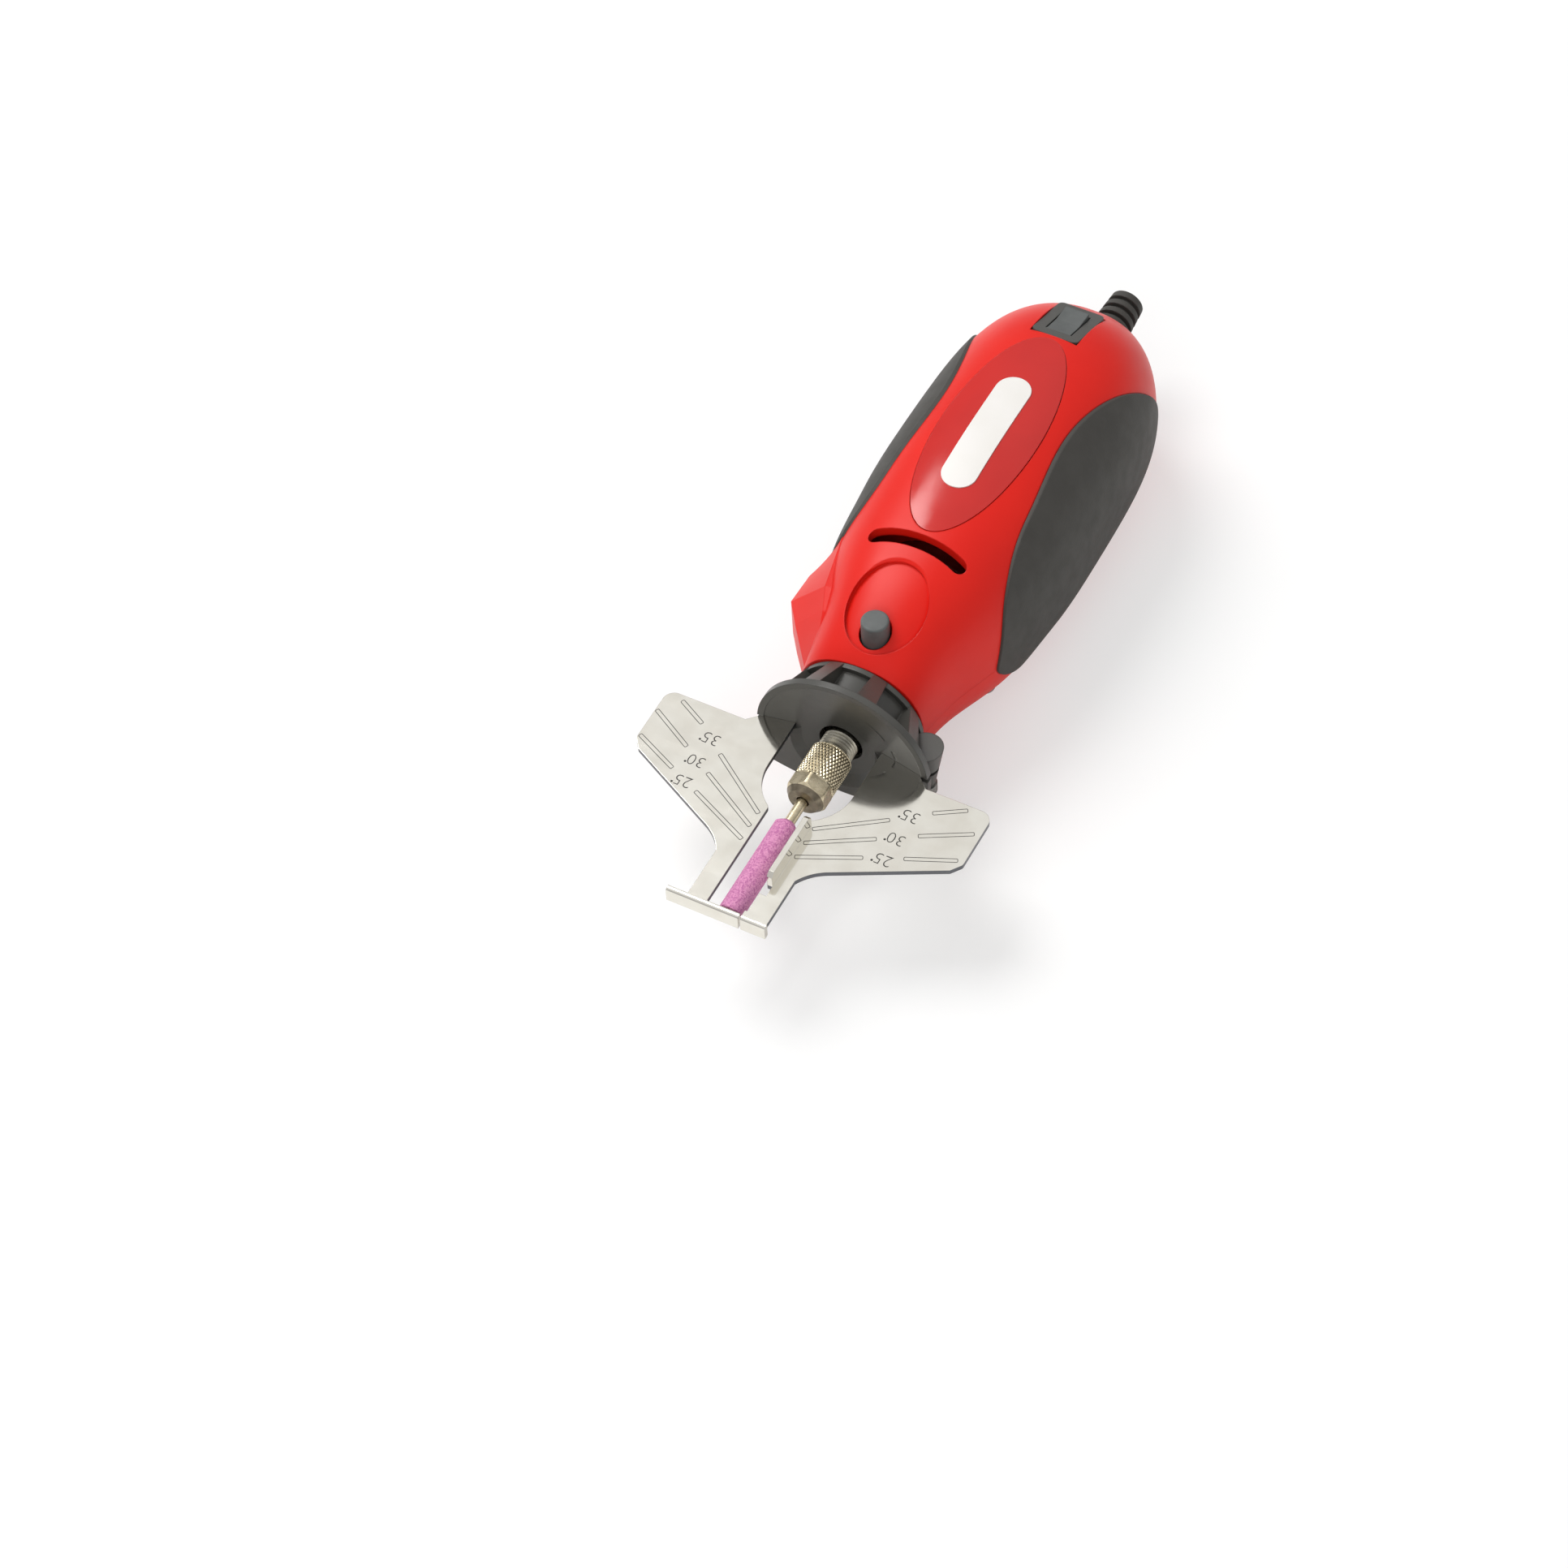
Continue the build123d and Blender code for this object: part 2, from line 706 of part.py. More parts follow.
def guide_collar():
    # a dished disc with a rim, ribs and pockets behind it, and a chin below the plate
    top = plate_under + plate_thickness
    disc = extrude(offset_disc(collar_radius, -collar_rim_depth), collar_rim_depth, dir=(1, 0, 0))
    core = rod_x(collar_floor_radius, -collar_rear, -collar_rim_depth)
    band = tube_x(collar_floor_radius + collar_band, sleeve_radius, -collar_rear,
                  -collar_rear + collar_band)
    front = offset_disc(collar_rib_radius, -collar_rim_depth)
    rear = Plane.YZ.offset(-collar_rear) * Circle(collar_floor_radius + collar_band)
    taper = loft([rear, front]) - rod_x(collar_floor_radius - collar_band, -collar_rear - overrun, 0)
    reach = collar_radius + lug_radius
    half = math.radians(collar_rib_angle / 2)
    wedge_points = [(0, 0), (-reach * math.tan(half), reach), (reach * math.tan(half), reach)]
    wedge = extrude(make_face(Plane.YZ * Polyline(wedge_points, close=True)), collar_rear,
                    dir=(-1, 0, 0))
    whole = disc + core + band
    step = full_turn / collar_ribs
    for k in range(collar_ribs):
        whole += taper & (Rot(collar_rib_first + k * step, 0, 0) * wedge)
    # the clamp lug, a tapering post
    post = loft([Pos(-lug_station, lug_side, -lug_bottom) * Circle(lug_tip_radius),
                 Pos(-lug_station, lug_side, lug_top) * Circle(lug_radius)])
    whole += post
    whole += box(-lug_station - lug_tip_radius, -lug_station + lug_tip_radius,
                 collar_floor_radius - overrun, lug_side, -lug_bottom, lug_top)
    # dished face, hollow for the nut, and room below the plate
    face_inner = collar_radius - collar_rim_width
    dish_rear = offset_disc(collar_hole_radius, -collar_dish_depth)
    dish_front = offset_disc(face_inner, -collar_dish_edge)
    whole -= loft([dish_rear, dish_front])
    whole -= extrude(dish_front, collar_dish_edge + overrun, dir=(1, 0, 0))
    chin = box(-collar_dish_depth - collar_web, 0, -chin_half_width, chin_half_width, -chin_height,
               plate_under)
    whole += chin - cone_x(chin_relief_rear, chin_relief_front, -collar_dish_depth, 0)
    # slit and hole of the clamp screw
    split_low = -lug_split_height - lug_split / 2
    whole -= box(-collar_rear - overrun, -collar_rim_depth - collar_web, sleeve_radius - overrun,
                 lug_side + lug_radius + overrun, split_low, split_low + lug_split)
    reach_down = lug_bottom + overrun
    whole -= rod_z(clamp_screw_radius, -reach_down, clamp_screw_top, -lug_station, lug_side)
    # bore over the nose sleeve, spindle hole, flat arched foot
    whole -= rod_x(sleeve_radius + shaft_clearance, -collar_rear - overrun,
                   -sleeve_front + running_gap)
    whole -= rod_x(collar_hole_radius, -collar_rear, overrun)
    arc_centre = chin_arc_radius - chin_height
    whole &= rod_x(chin_arc_radius, -collar_rear - overrun, overrun, z=arc_centre)
    # slots for the wings and their tongues, and the rivet holes
    for side in (-1, 1):
        whole -= box(-tongue_length, overrun, side * tongue_inner, side * tongue_outer,
                     plate_under, top)
        whole -= box(-wing_root_depth, overrun, side * opening_half_width, side * collar_radius * 2,
                     plate_under, top)
        whole -= rod_z(rivet_radius, -rivet_bottom, top, -rivet_station, side * rivet_side)
    return whole


def clamp_screw():
    # enters the lug from below, with its socket head under the lug
    screw = rod_z(clamp_screw_radius, -lug_bottom, clamp_screw_top, -lug_station, lug_side)
    head_low = -lug_bottom - clamp_head_height
    screw += rod_z(clamp_head_radius, head_low, -lug_bottom, -lug_station, lug_side)
    radius = clamp_socket_across / math.sqrt(3)
    socket = extrude(RegularPolygon(radius, 6), clamp_socket_depth + overrun)
    return screw - Pos(-lug_station, lug_side, head_low - overrun) * socket


def wing_face(side):
    # out from the collar, round the wing, down the leg and back along the slot and the opening
    leg_start = wing_root_station + leg_fillet
    root_rear = -wing_root_depth
    root_side = wing_root_sides[0] if side < 0 else wing_root_sides[1]
    outer = Polyline([(root_rear, side * opening_half_width), (root_rear, side * root_side),
                      (0, side * root_side), (wing_rear, side * (root_side + wing_step)),
                      (wing_rear, side * wing_side), (wing_front_inner, side * wing_side),
                      (wing_tip_front, side * wing_tip_side),
                      (wing_root_station, side * wing_root_side)])
    slot_side = side * (slot_left if side < 0 else slot_half_width)
    run = (wing_root_station - wing_tip_front, side * (wing_root_side - wing_tip_side))
    bend = TangentArc((wing_root_station, side * wing_root_side), (leg_start, side * leg_side),
                      tangent=run)
    leg = Polyline([(leg_start, side * leg_side), (leg_front, side * leg_side),
                    (leg_front, slot_side), (opening_end, slot_side)])
    mouth = TangentArc((opening_depth, side * opening_half_width), (opening_end, slot_side),
                       tangent=(1, 0))
    inner = Line((opening_depth, side * opening_half_width), (root_rear, side * opening_half_width))
    return make_face([outer, bend, leg, mouth, inner])


def flat_wing(side):
    # the flat blank with its tongue, rounded corners and rivet hole
    top = plate_under + plate_thickness
    wing = Pos(0, 0, plate_under) * extrude(wing_face(side), plate_thickness)
    upright = wing.edges().filter_by(Axis.Z)
    corners = upright.filter_by(lambda e: abs(e.center().Y) > wing_side - wing_corner).sort_by(Axis.X)
    wing = fillet(corners[0], wing_rear_corner)
    upright = wing.edges().filter_by(Axis.Z)
    front = upright.filter_by(lambda e: abs(e.center().X - wing_front_inner) < fit_clearance)
    wing = fillet(front, wing_corner)
    mouth = wing.edges().filter_by(Axis.Z).filter_by(
        lambda e: abs(e.center().X - opening_end) < slot_fillet)
    wing = fillet(mouth, slot_fillet)
    wing += box(-tongue_length, wing_rear, side * tongue_inner, side * tongue_outer, plate_under, top)
    # the root stands clear of its slot's floor, so that the flat underside ends at the collar
    wing -= box(-tongue_length - overrun, 0, 0, side * wing_side, 0, plate_under + root_relief)
    return wing - rod_z(rivet_radius, 0, top + overrun, -rivet_station, side * rivet_side)


def left_wing():
    # the wide end flange also closes the slot in front of the stone
    top = plate_under + plate_thickness
    x0, x1 = leg_front, leg_front + flange_thickness
    wing = flat_wing(-1)
    wing += box(x0, x1, -leg_side - flange_overhang, flange_slot_end, plate_under - flange_drop, top)
    return round_bend(wing, x1, top)


def right_wing():
    # a strip beside the slot is bent up into a lip, with a relief notch in front of it
    top = plate_under + plate_thickness
    wing = flat_wing(1)
    notch_x1 = lip_front + lip_notch_length
    wing -= box(lip_front, notch_x1, 0, slot_half_width + lip_notch_depth, 0, top + overrun)
    lip_inner = slot_half_width + lip_gap
    lip_top = top + lip_height
    points = [(lip_rear, plate_under), (lip_front, plate_under), (lip_front, lip_top - lip_slope),
              (lip_front - lip_slope, lip_top), (lip_rear + lip_slope, lip_top),
              (lip_rear, lip_top - lip_slope)]
    lip = extrude(make_face(Plane.XZ * Polyline(points, close=True)), lip_thickness, dir=(0, 1, 0))
    wing -= box(lip_rear, lip_front, 0, lip_inner, 0, top + overrun)
    wing += Pos(0, lip_inner, 0) * lip
    x0, x1 = leg_front, leg_front + flange_thickness
    low = flange_slot_end + flange_gap
    wing += box(x0, x1, low, leg_side, plate_under - flange_drop, top)
    wing += box(leg_front - flange_thickness, x0, low, slot_half_width + lip_gap, plate_under, top)
    return round_bend(wing, x1, top)


def round_bend(wing, x, z):
    edge = wing.edges().filter_by(Axis.Y).filter_by(
        lambda e: abs(e.center().X - x) < flange_gap / 2 and abs(e.center().Z - z) < flange_gap / 2)
    return fillet(edge, plate_thickness * bend_share)


def plate_rivets():
    top = plate_under + plate_thickness
    group = []
    for side in (-1, 1):
        group.append(rod_z(rivet_radius, -rivet_bottom, top, -rivet_station, side * rivet_side))
    return Compound(children=group)


def motor_can():
    can = rod_x(motor_radius, -motor_rear, -motor_front)
    can -= rod_x(motor_radius - motor_wall, -motor_rear - overrun, -motor_front - motor_wall)
    can += rod_x(motor_boss_radius, -motor_front, -motor_front + motor_boss_length)
    can -= rod_x(motor_shaft_radius + shaft_clearance, -motor_front - overrun, 0)
    return can


def motor_magnets():
    outer = motor_radius - motor_wall
    arc = tube_x(outer, outer - magnet_thickness, -magnet_rear, -magnet_front)
    half = math.radians(magnet_angle / 2)
    reach = motor_radius + overrun
    points = [(0, 0), (reach * math.tan(math.pi / 2 - half), reach), (-reach * math.tan(math.pi / 2 - half), reach)]
    gap = extrude(make_face(Plane.YZ * Polyline(points, close=True)), magnet_rear, dir=(-1, 0, 0))
    arc -= gap
    arc -= Rot(half_turn, 0, 0) * gap
    return Compound(children=list(arc.solids()))


def motor_endcap():
    outer = motor_radius - motor_wall
    cap = rod_x(motor_radius, -motor_rear - endcap_length + endcap_lip, -motor_rear)
    cap += rod_x(outer, -motor_rear, -motor_rear + endcap_lip)
    bush_x0 = -motor_rear - endcap_length
    cap += rod_x(bush_radius + motor_wall, bush_x0, -motor_rear)
    cap -= rod_x(bush_radius, bush_x0 - overrun, bush_x0 + bush_length)
    cap -= rod_x(motor_shaft_radius + running_gap, bush_x0, 0)
    for side in (-1, 1):
        half = brush_width / 2
        y0 = commutator_radius + shaft_clearance
        slot = box(-brush_station - half - terminal_thickness, -brush_station + half + terminal_thickness,
                   side * (y0 + brush_length / 2), side * (outer - running_gap),
                   -brush_height / 2 - terminal_thickness, brush_height / 2 + terminal_thickness)
        arm = slot + box(-motor_rear, -brush_station, side * (y0 + brush_length / 2),
                         side * (outer - running_gap),
                         -brush_height / 2 - terminal_thickness, -brush_height / 2)
        hole = box(-brush_station - half, -brush_station + half, 0, side * (y0 + brush_length),
                   -brush_height / 2, brush_height / 2)
        cap += arm - hole
        cap -= terminal_box(side)
    return cap


def terminal_box(side):
    x0 = -motor_rear - endcap_length - terminal_length + endcap_lip
    x1 = -motor_rear + endcap_lip
    return box(x0, x1, side * terminal_side, side * (terminal_side + terminal_thickness),
               -terminal_width / 2, terminal_width / 2)


def motor_terminals():
    return Compound(children=[terminal_box(side) for side in (-1, 1)])


def motor_bush():
    x0 = -motor_rear - endcap_length
    return tube_x(bush_radius, motor_shaft_radius + shaft_clearance, x0, x0 + bush_length)


def carbon_brushes():
    group = []
    for side in (-1, 1):
        y0 = commutator_radius + shaft_clearance
        half = brush_width / 2
        group.append(box(-brush_station - half, -brush_station + half, side * y0,
                         side * (y0 + brush_length), -brush_height / 2, brush_height / 2))
    return Compound(children=group)


def motor_shaft():
    return rod_x(motor_shaft_radius, -motor_shaft_rear, -motor_shaft_front)


def armature_core():
    core = rod_x(core_radius, -core_rear, -core_front)
    for k in range(core_slots):
        turn = Rot(k * full_turn / core_slots, 0, 0)
        mouth = box(-core_rear - overrun, -core_front + overrun, -core_slot_width / 2, core_slot_width / 2,
                    core_radius - core_slot_depth, core_radius + overrun)
        core -= turn * mouth
    return core - rod_x(motor_shaft_radius, -core_rear - overrun, -core_front + overrun)


def armature_windings():
    group = []
    for x0, x1 in ((-core_front, -core_front + winding_overhang),
                   (-core_rear - winding_overhang, -core_rear)):
        ring = tube_x(winding_radius, core_hub_radius, x0, x1)
        group.append(fillet(ring.edges().filter_by(GeomType.CIRCLE).sort_by(SortBy.LENGTH)[-2:],
                            winding_overhang / 3))
    for k in range(core_slots):
        turn = Rot(k * full_turn / core_slots, 0, 0)
        low = core_radius - core_slot_depth
        group.append(turn * box(-core_rear, -core_front, -core_slot_width / 2, core_slot_width / 2,
                                low, core_radius - running_gap * 2))
    whole = group[0]
    for piece in group[1:]:
        whole += piece
    return whole


def commutator():
    x0 = -commutator_rear
    drum = tube_x(commutator_radius, motor_shaft_radius, x0, -core_rear - winding_overhang)
    return drum


def cooling_fan():
    fan = rod_x(fan_hub_radius, -fan_rear, -fan_front)
    fan += rod_x(fan_radius, -fan_rear, -fan_rear + fan_disc)
    for k in range(fan_blades):
        turn = Rot(k * full_turn / fan_blades, 0, 0)
        fan += turn * box(-fan_rear, -fan_front, -fan_blade_thickness / 2, fan_blade_thickness / 2,
                          fan_hub_radius - running_gap, fan_radius - running_gap)
    return fan - rod_x(motor_shaft_radius, -fan_rear - overrun, -fan_front + overrun)


def shaft_coupler():
    body_part = rod_x(coupler_radius, -coupler_rear, -coupler_front)
    body_part -= rod_x(spindle_stub_radius, -spindle_stub_rear, 0)
    return body_part - rod_x(motor_shaft_radius, -coupler_rear - overrun, -spindle_stub_rear)


def lock_button():
    button = rod_z(button_radius, button_bottom, button_top, -button_station)
    top_edge = button.edges().sort_by(Axis.Z)[-1]
    button = fillet(top_edge, button_edge)
    button += rod_z(button_flange_radius, button_flange_top - button_flange_thickness,
                    button_flange_top, -button_station)
    return button - rod_z(lock_pin_radius, 0, button_bottom + lock_pin_overlap, -button_station)


def lock_pin():
    return rod_z(lock_pin_radius, spindle_radius + running_gap, button_bottom + lock_pin_overlap,
                 -button_station)


def button_spring():
    low = spring_seat_height
    high = button_flange_top - button_flange_thickness
    height = high - low - spring_wire
    pitch = height / spring_turns
    path = Helix(pitch=pitch, height=height, radius=spring_radius + spring_wire)
    start = path @ 0
    profile = Plane(origin=start, z_dir=path % 0) * Circle(spring_wire / 2)
    coil = sweep(profile, path=path)
    return Pos(-button_station, 0, low + spring_wire / 2) * coil


def switch_frame():
    half, side = switch_length / 2, switch_width / 2
    frame = box(-half, half, -side, side, -switch_depth, 0)
    bezel_half, bezel_side = switch_bezel_length / 2, switch_bezel_width / 2
    bezel = box(-bezel_half, bezel_half, -bezel_side, bezel_side, 0, switch_bezel_height)
    corners = bezel.edges().filter_by(Axis.Z)
    frame += fillet(corners, switch_bezel_height)
    hole_half = rocker_length / 2 + rocker_gap
    hole_side = rocker_width / 2 + rocker_gap
    frame -= box(-hole_half, hole_half, -hole_side, hole_side, -rocker_room, overrun * 2)
    pin = Pos(0, 0, -rocker_pivot_depth) * Rot(quarter_turn, 0, 0)
    pin_reach = rocker_width + rocker_gap * 2 + switch_wall * 2
    frame -= pin * Cylinder(rocker_pivot_radius + shaft_clearance, pin_reach)
    return switch_place() * frame


def switch_blades():
    group = []
    for sign in (-1, 1):
        x = sign * switch_length / 4
        blade = box(x - terminal_width / 2, x + terminal_width / 2, -terminal_thickness / 2,
                    terminal_thickness / 2, -switch_depth - switch_blade_length, -switch_depth)
        group.append(switch_place() * blade)
    return Compound(children=group)


def power_rocker():
    # a shallow V seen from the side, resting on its rear half
    half = rocker_length / 2
    rise = half * math.tan(math.radians(rocker_rest))
    top = switch_bezel_height + rocker_pivot_depth
    points = [(-half, 0), (0, -rocker_thickness / 2), (half, 0),
              (half, top + rise), (0, top), (-half, top + rise)]
    face = make_face(Plane.XZ * Polyline(points, close=True))
    paddle = Pos(0, -rocker_width / 2, 0) * extrude(face, rocker_width, dir=(0, 1, 0))
    pin_length = rocker_width + rocker_gap * 2 + switch_wall * 2 - fit_clearance
    paddle += Rot(quarter_turn, 0, 0) * Cylinder(rocker_pivot_radius, pin_length)
    return switch_place() * Pos(0, 0, -rocker_pivot_depth) * Rot(0, rocker_rest, 0) * paddle


def cord_gland():
    x_shell = -max(body_stations)
    gland = rod_x(gland_radius, x_shell, -gland_front)
    gland += rod_x(gland_collar_radius, -gland_front - gland_collar_length, -gland_front)
    gland += cone_x(gland_tip_radius, gland_radius, -gland_rear, x_shell)
    gland += rod_x(gland_collar_radius, x_shell - gland_collar_length / 2, x_shell)
    pitch = (gland_rear + x_shell) / (gland_grooves + 1)
    for k in range(gland_grooves):
        x = -gland_rear + pitch * (k + 1) - pitch / 3
        gland -= tube_x(gland_radius + overrun, gland_tip_radius - gland_groove_depth + k * fit_clearance,
                        x, x + gland_groove_width)
    return gland - rod_x(gland_bore, -gland_rear - overrun, 0)


def motor_leads():
    group = []
    for side in (-1, 1):
        start_x = -motor_rear - endcap_length - terminal_length + endcap_lip
        start = Vector(start_x, side * (terminal_side + terminal_thickness / 2), 0)
        low = -switch_depth - switch_blade_length - shaft_clearance
        end = (switch_place() * Pos(side * switch_length / 4, 0, low)).position
        upward = (switch_place() * Pos(side * switch_length / 4, 0, 0)).position - end
        middle = (start + end) * 0.5 - Vector(0, 0, wire_drop)
        path = Spline([start, middle, end], tangents=[(-1, 0, 0), upward.normalized()])
        profile = Plane(origin=start, z_dir=(-1, 0, 0)) * Circle(wire_radius)
        group.append(sweep(profile, path=path))
    return Compound(children=group)


def noise_capacitor():
    disc = rod_x(capacitor_radius, -capacitor_station - capacitor_thickness, -capacitor_station)
    for side in (-1, 1):
        disc += box(-capacitor_station - capacitor_thickness / 2 - capacitor_lead,
                    -capacitor_station - capacitor_thickness / 2 + capacitor_lead,
                    side * (capacitor_radius - running_gap), side * terminal_side,
                    -capacitor_lead, capacitor_lead)
    return disc


def save(name, piece, lift):
    moved = Pos(move_x, 0, lift) * piece
    solids = list(moved.solids())
    whole = solids[0] if len(solids) == 1 else Compound(children=solids)
    export_step(whole, "parts/" + name + ".step")
    print(name, len(solids), "volume", round(sum(s.volume for s in solids), 1))


def main():
    os.makedirs("parts", exist_ok=True)
    block = shell_block()
    lower = lower_shell(block)
    lift = -lower.bounding_box().min.Z
    save("upper_shell", upper_shell(block), lift)
    save("lower_shell", lower, lift)
    save("left_grip", side_grip(-1), lift)
    save("right_grip", side_grip(1), lift)
    save("gloss_inlay", inlay_panel(), lift)
    save("blank_pill", blank_pill(), lift)
    save("housing_screws", housing_screws(), lift)
    save("nose_sleeve", nose_sleeve(), lift)
    save("front_bearing", bearing(-bearing_front_station), lift)
    save("rear_bearing", bearing(-sleeve_rear + bearing_width), lift)
    save("spindle", spindle(), lift)
    save("collet", collet(), lift)
    save("collet_nut", collet_nut(), lift)
    save("stone_shank", stone_shank(), lift)
    save("grinding_stone", grinding_stone(), lift)
    save("guide_collar", guide_collar(), lift)
    save("clamp_screw", clamp_screw(), lift)
    save("left_wing", left_wing(), lift)
    save("right_wing", right_wing(), lift)
    save("plate_rivets", plate_rivets(), lift)
    save("motor_can", motor_can(), lift)
    save("motor_magnets", motor_magnets(), lift)
    save("motor_endcap", motor_endcap(), lift)
    save("motor_terminals", motor_terminals(), lift)
    save("motor_bush", motor_bush(), lift)
    save("carbon_brushes", carbon_brushes(), lift)
    save("motor_shaft", motor_shaft(), lift)
    save("armature_core", armature_core(), lift)
    save("armature_windings", armature_windings(), lift)
    save("commutator", commutator(), lift)
    save("cooling_fan", cooling_fan(), lift)
    save("shaft_coupler", shaft_coupler(), lift)
    save("lock_button", lock_button(), lift)
    save("lock_pin", lock_pin(), lift)
    save("button_spring", button_spring(), lift)
    save("switch_frame", switch_frame(), lift)
    save("switch_blades", switch_blades(), lift)
    save("power_rocker", power_rocker(), lift)
    save("cord_gland", cord_gland(), lift)
    save("motor_leads", motor_leads(), lift)
    save("noise_capacitor", noise_capacitor(), lift)


main()
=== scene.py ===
import math

import bmesh
import bpy
from bpy.props import FloatProperty, FloatVectorProperty, IntProperty, PointerProperty
from mathutils import Matrix, Vector, noise


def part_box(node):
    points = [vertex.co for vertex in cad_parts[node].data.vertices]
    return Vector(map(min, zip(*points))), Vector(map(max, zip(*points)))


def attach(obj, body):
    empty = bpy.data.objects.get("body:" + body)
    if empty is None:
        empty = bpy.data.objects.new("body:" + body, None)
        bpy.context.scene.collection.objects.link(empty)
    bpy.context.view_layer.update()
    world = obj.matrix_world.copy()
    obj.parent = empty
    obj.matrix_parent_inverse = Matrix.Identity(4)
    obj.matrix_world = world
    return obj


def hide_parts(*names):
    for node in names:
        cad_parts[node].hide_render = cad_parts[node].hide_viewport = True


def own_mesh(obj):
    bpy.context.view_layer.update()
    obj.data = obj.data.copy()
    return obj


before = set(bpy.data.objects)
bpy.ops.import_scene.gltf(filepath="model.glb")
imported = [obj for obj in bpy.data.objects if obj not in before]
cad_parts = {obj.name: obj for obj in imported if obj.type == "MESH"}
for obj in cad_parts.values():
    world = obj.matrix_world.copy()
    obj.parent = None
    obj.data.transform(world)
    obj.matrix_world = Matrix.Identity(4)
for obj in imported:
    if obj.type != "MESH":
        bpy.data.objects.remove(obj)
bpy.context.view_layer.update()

bl_info = {
    "name": "Electric chainsaw sharpener",
    "version": (1, 0, 0),
    "blender": (4, 5, 0),
    "location": "3D View > Sidebar > Sharpener",
    "description": "Dresses the packed model of a hand-held chainsaw sharpener",
    "category": "Object",
}

MM = 0.001

# The drawing's zero is where the spindle's line meets the collar's front face
STONE_LOW, STONE_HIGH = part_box("grinding_stone")
COLLAR_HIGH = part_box("guide_collar")[1]
ORIGIN = Vector((COLLAR_HIGH.x, 0.0, (STONE_LOW.z + STONE_HIGH.z) / 2))

# How near two vertices count as one, in metres, and how near two radii or stations do, in
# millimetres
MERGE_WITHIN = 1e-6
ROUNDING = 0.01

# Collet nut, in millimetres along the spindle and out from it: a knurled barrel, a hexagon and
# a blunt cone with a hole for the shank
NUT_REAR, NUT_KNURL_END, NUT_HEX_END, NUT_FRONT = 1.4, 9.7, 13.3, 14.6
NUT_RADIUS = 4.8
NUT_HEX_HALF = 4.3
NUT_SHOULDER = 4.42
NUT_CHAMFER = 0.3
# the hexagon's corners begin to slope off this far before its end
NUT_SLOPE = 0.45
NUT_FRONT_RADIUS = 3.4
NUT_MOUTH = 1.45
NUT_BORE = 4.05
NUT_BORE_END = 9.8
# points cut into each length of its outline, and steps round it
NUT_CUTS = (2, 2, 78, 12, 10, 6, 3, 1, 3, 3)
NUT_TURNS = 288
# a face whose normal has more than this along the spindle is part of the front, not a flat
NUT_FACING = 0.2
KNURL_RIBS = 36
KNURL_SLANT = math.radians(30)

# Spring under the lock button; lengths in millimetres
SPRING_WIRE = 0.45
SPRING_TURNS = 3
SPRING_STEPS = 96
SPRING_SIDES = 10

# Grinding stone, in millimetres
STONE_REAR, STONE_FRONT = 21.0, 46.9
STONE_RADIUS = 2.72
STONE_SHOULDER = 1.1
STONE_HOLE = 1.2
STONE_ROUND = 0.25
STONE_CUTS = (2, 8, 150, 2, 10, 0, 2, 4)
STONE_TURNS = 112
# its pits come from two sizes of noise, in waves per millimetre, and leave the hole smooth
GRIT_COARSE, GRIT_FINE = 3.2, 6.5
HOLE_MARGIN = 0.05

# Plate: the height of its top, half its thickness, and where its front flange begins
PLATE_TOP = 2.85
PLATE_HALF = 0.6
FLANGE_REAR = 47.55
CUT_EDGE_ROUGH = 0.42

# Angle marks on the plate: start and end of each, as (station, side), and the numbers. Both
# stand a hair above the plate and reach a little way into it
MARK_RISE = 0.012
MARK_SINK = 0.05
MARK_WIDTH = 1.05
MARK_CORNER = 0.3
MARKS = (
    ((12.85, -20.4), (23.2, -5.7)), ((18.4, -20.4), (26.9, -5.7)), ((23.75, -20.4), (30.6, -5.7)),
    ((3.7, -34.4), (7.35, -27.6)), ((8.2, -38.1), (14.15, -27.6)), ((15.6, -38.1), (20.5, -27.6)),
    ((12.75, 19.6), (21.95, 6.2)), ((18.35, 19.4), (25.9, 6.2)), ((23.9, 19.1), (29.9, 6.2)),
    ((3.5, 33.1), (7.4, 26.7)), ((8.4, 37.0), (14.0, 26.7)), ((16.0, 37.0), (20.5, 26.7)),
)
NUMBERS = (("35", 10.15), ("30", 16.7), ("25", 22.6))
NUMBER_SIDES = (-24.0, 23.0)
NUMBER_WIDTH = 3.6
# the figures' outlines are drawn in by this share of their size
NUMBER_THINNING = -0.018
DEGREE_STEP = 2.1
DEGREE_RISE = 1.0
DEGREE_RADIUS = 0.28

# Camera: where it stands from the drawing's zero, and its right, down and ahead directions
CAMERA_PLACE = (547.67, 316.52, 804.87)
CAMERA_RIGHT = (-0.4665, 0.8835, -0.0433)
CAMERA_DOWN = (0.7115, 0.3457, -0.6118)
CAMERA_AHEAD = (-0.5255, -0.3162, -0.7898)
CAMERA_LENS = 111.8
CAMERA_FAR = 20.0

# Lamps: name, place in millimetres, width in metres, power in watts, and whether it is
# mirrored. A large softbox overhead, to the camera's left, and a weak one beyond the stone,
# which only fills shadows: the plate would mirror it as a blank patch
LAMPS = (
    ("key", (-250, -700, 1100), 0.8, 12.0, True),
    ("front", (900, 200, 700), 0.8, 4.0, False),
)
LAMP_TARGET = (-20, 0, 0)

# The world as light on matt surfaces
SKY = 0.5

# The world as mirrored: dim below the first height and bright above the second, where 0 is
# the horizon and 1 straight up
ROOM_LOW, ROOM_DIM = 0.36, (0.52, 0.52, 0.53, 1.0)
ROOM_HIGH, ROOM_BRIGHT = 0.78, (0.95, 0.95, 0.95, 1.0)
WHITE = (1.0, 1.0, 1.0, 1.0)

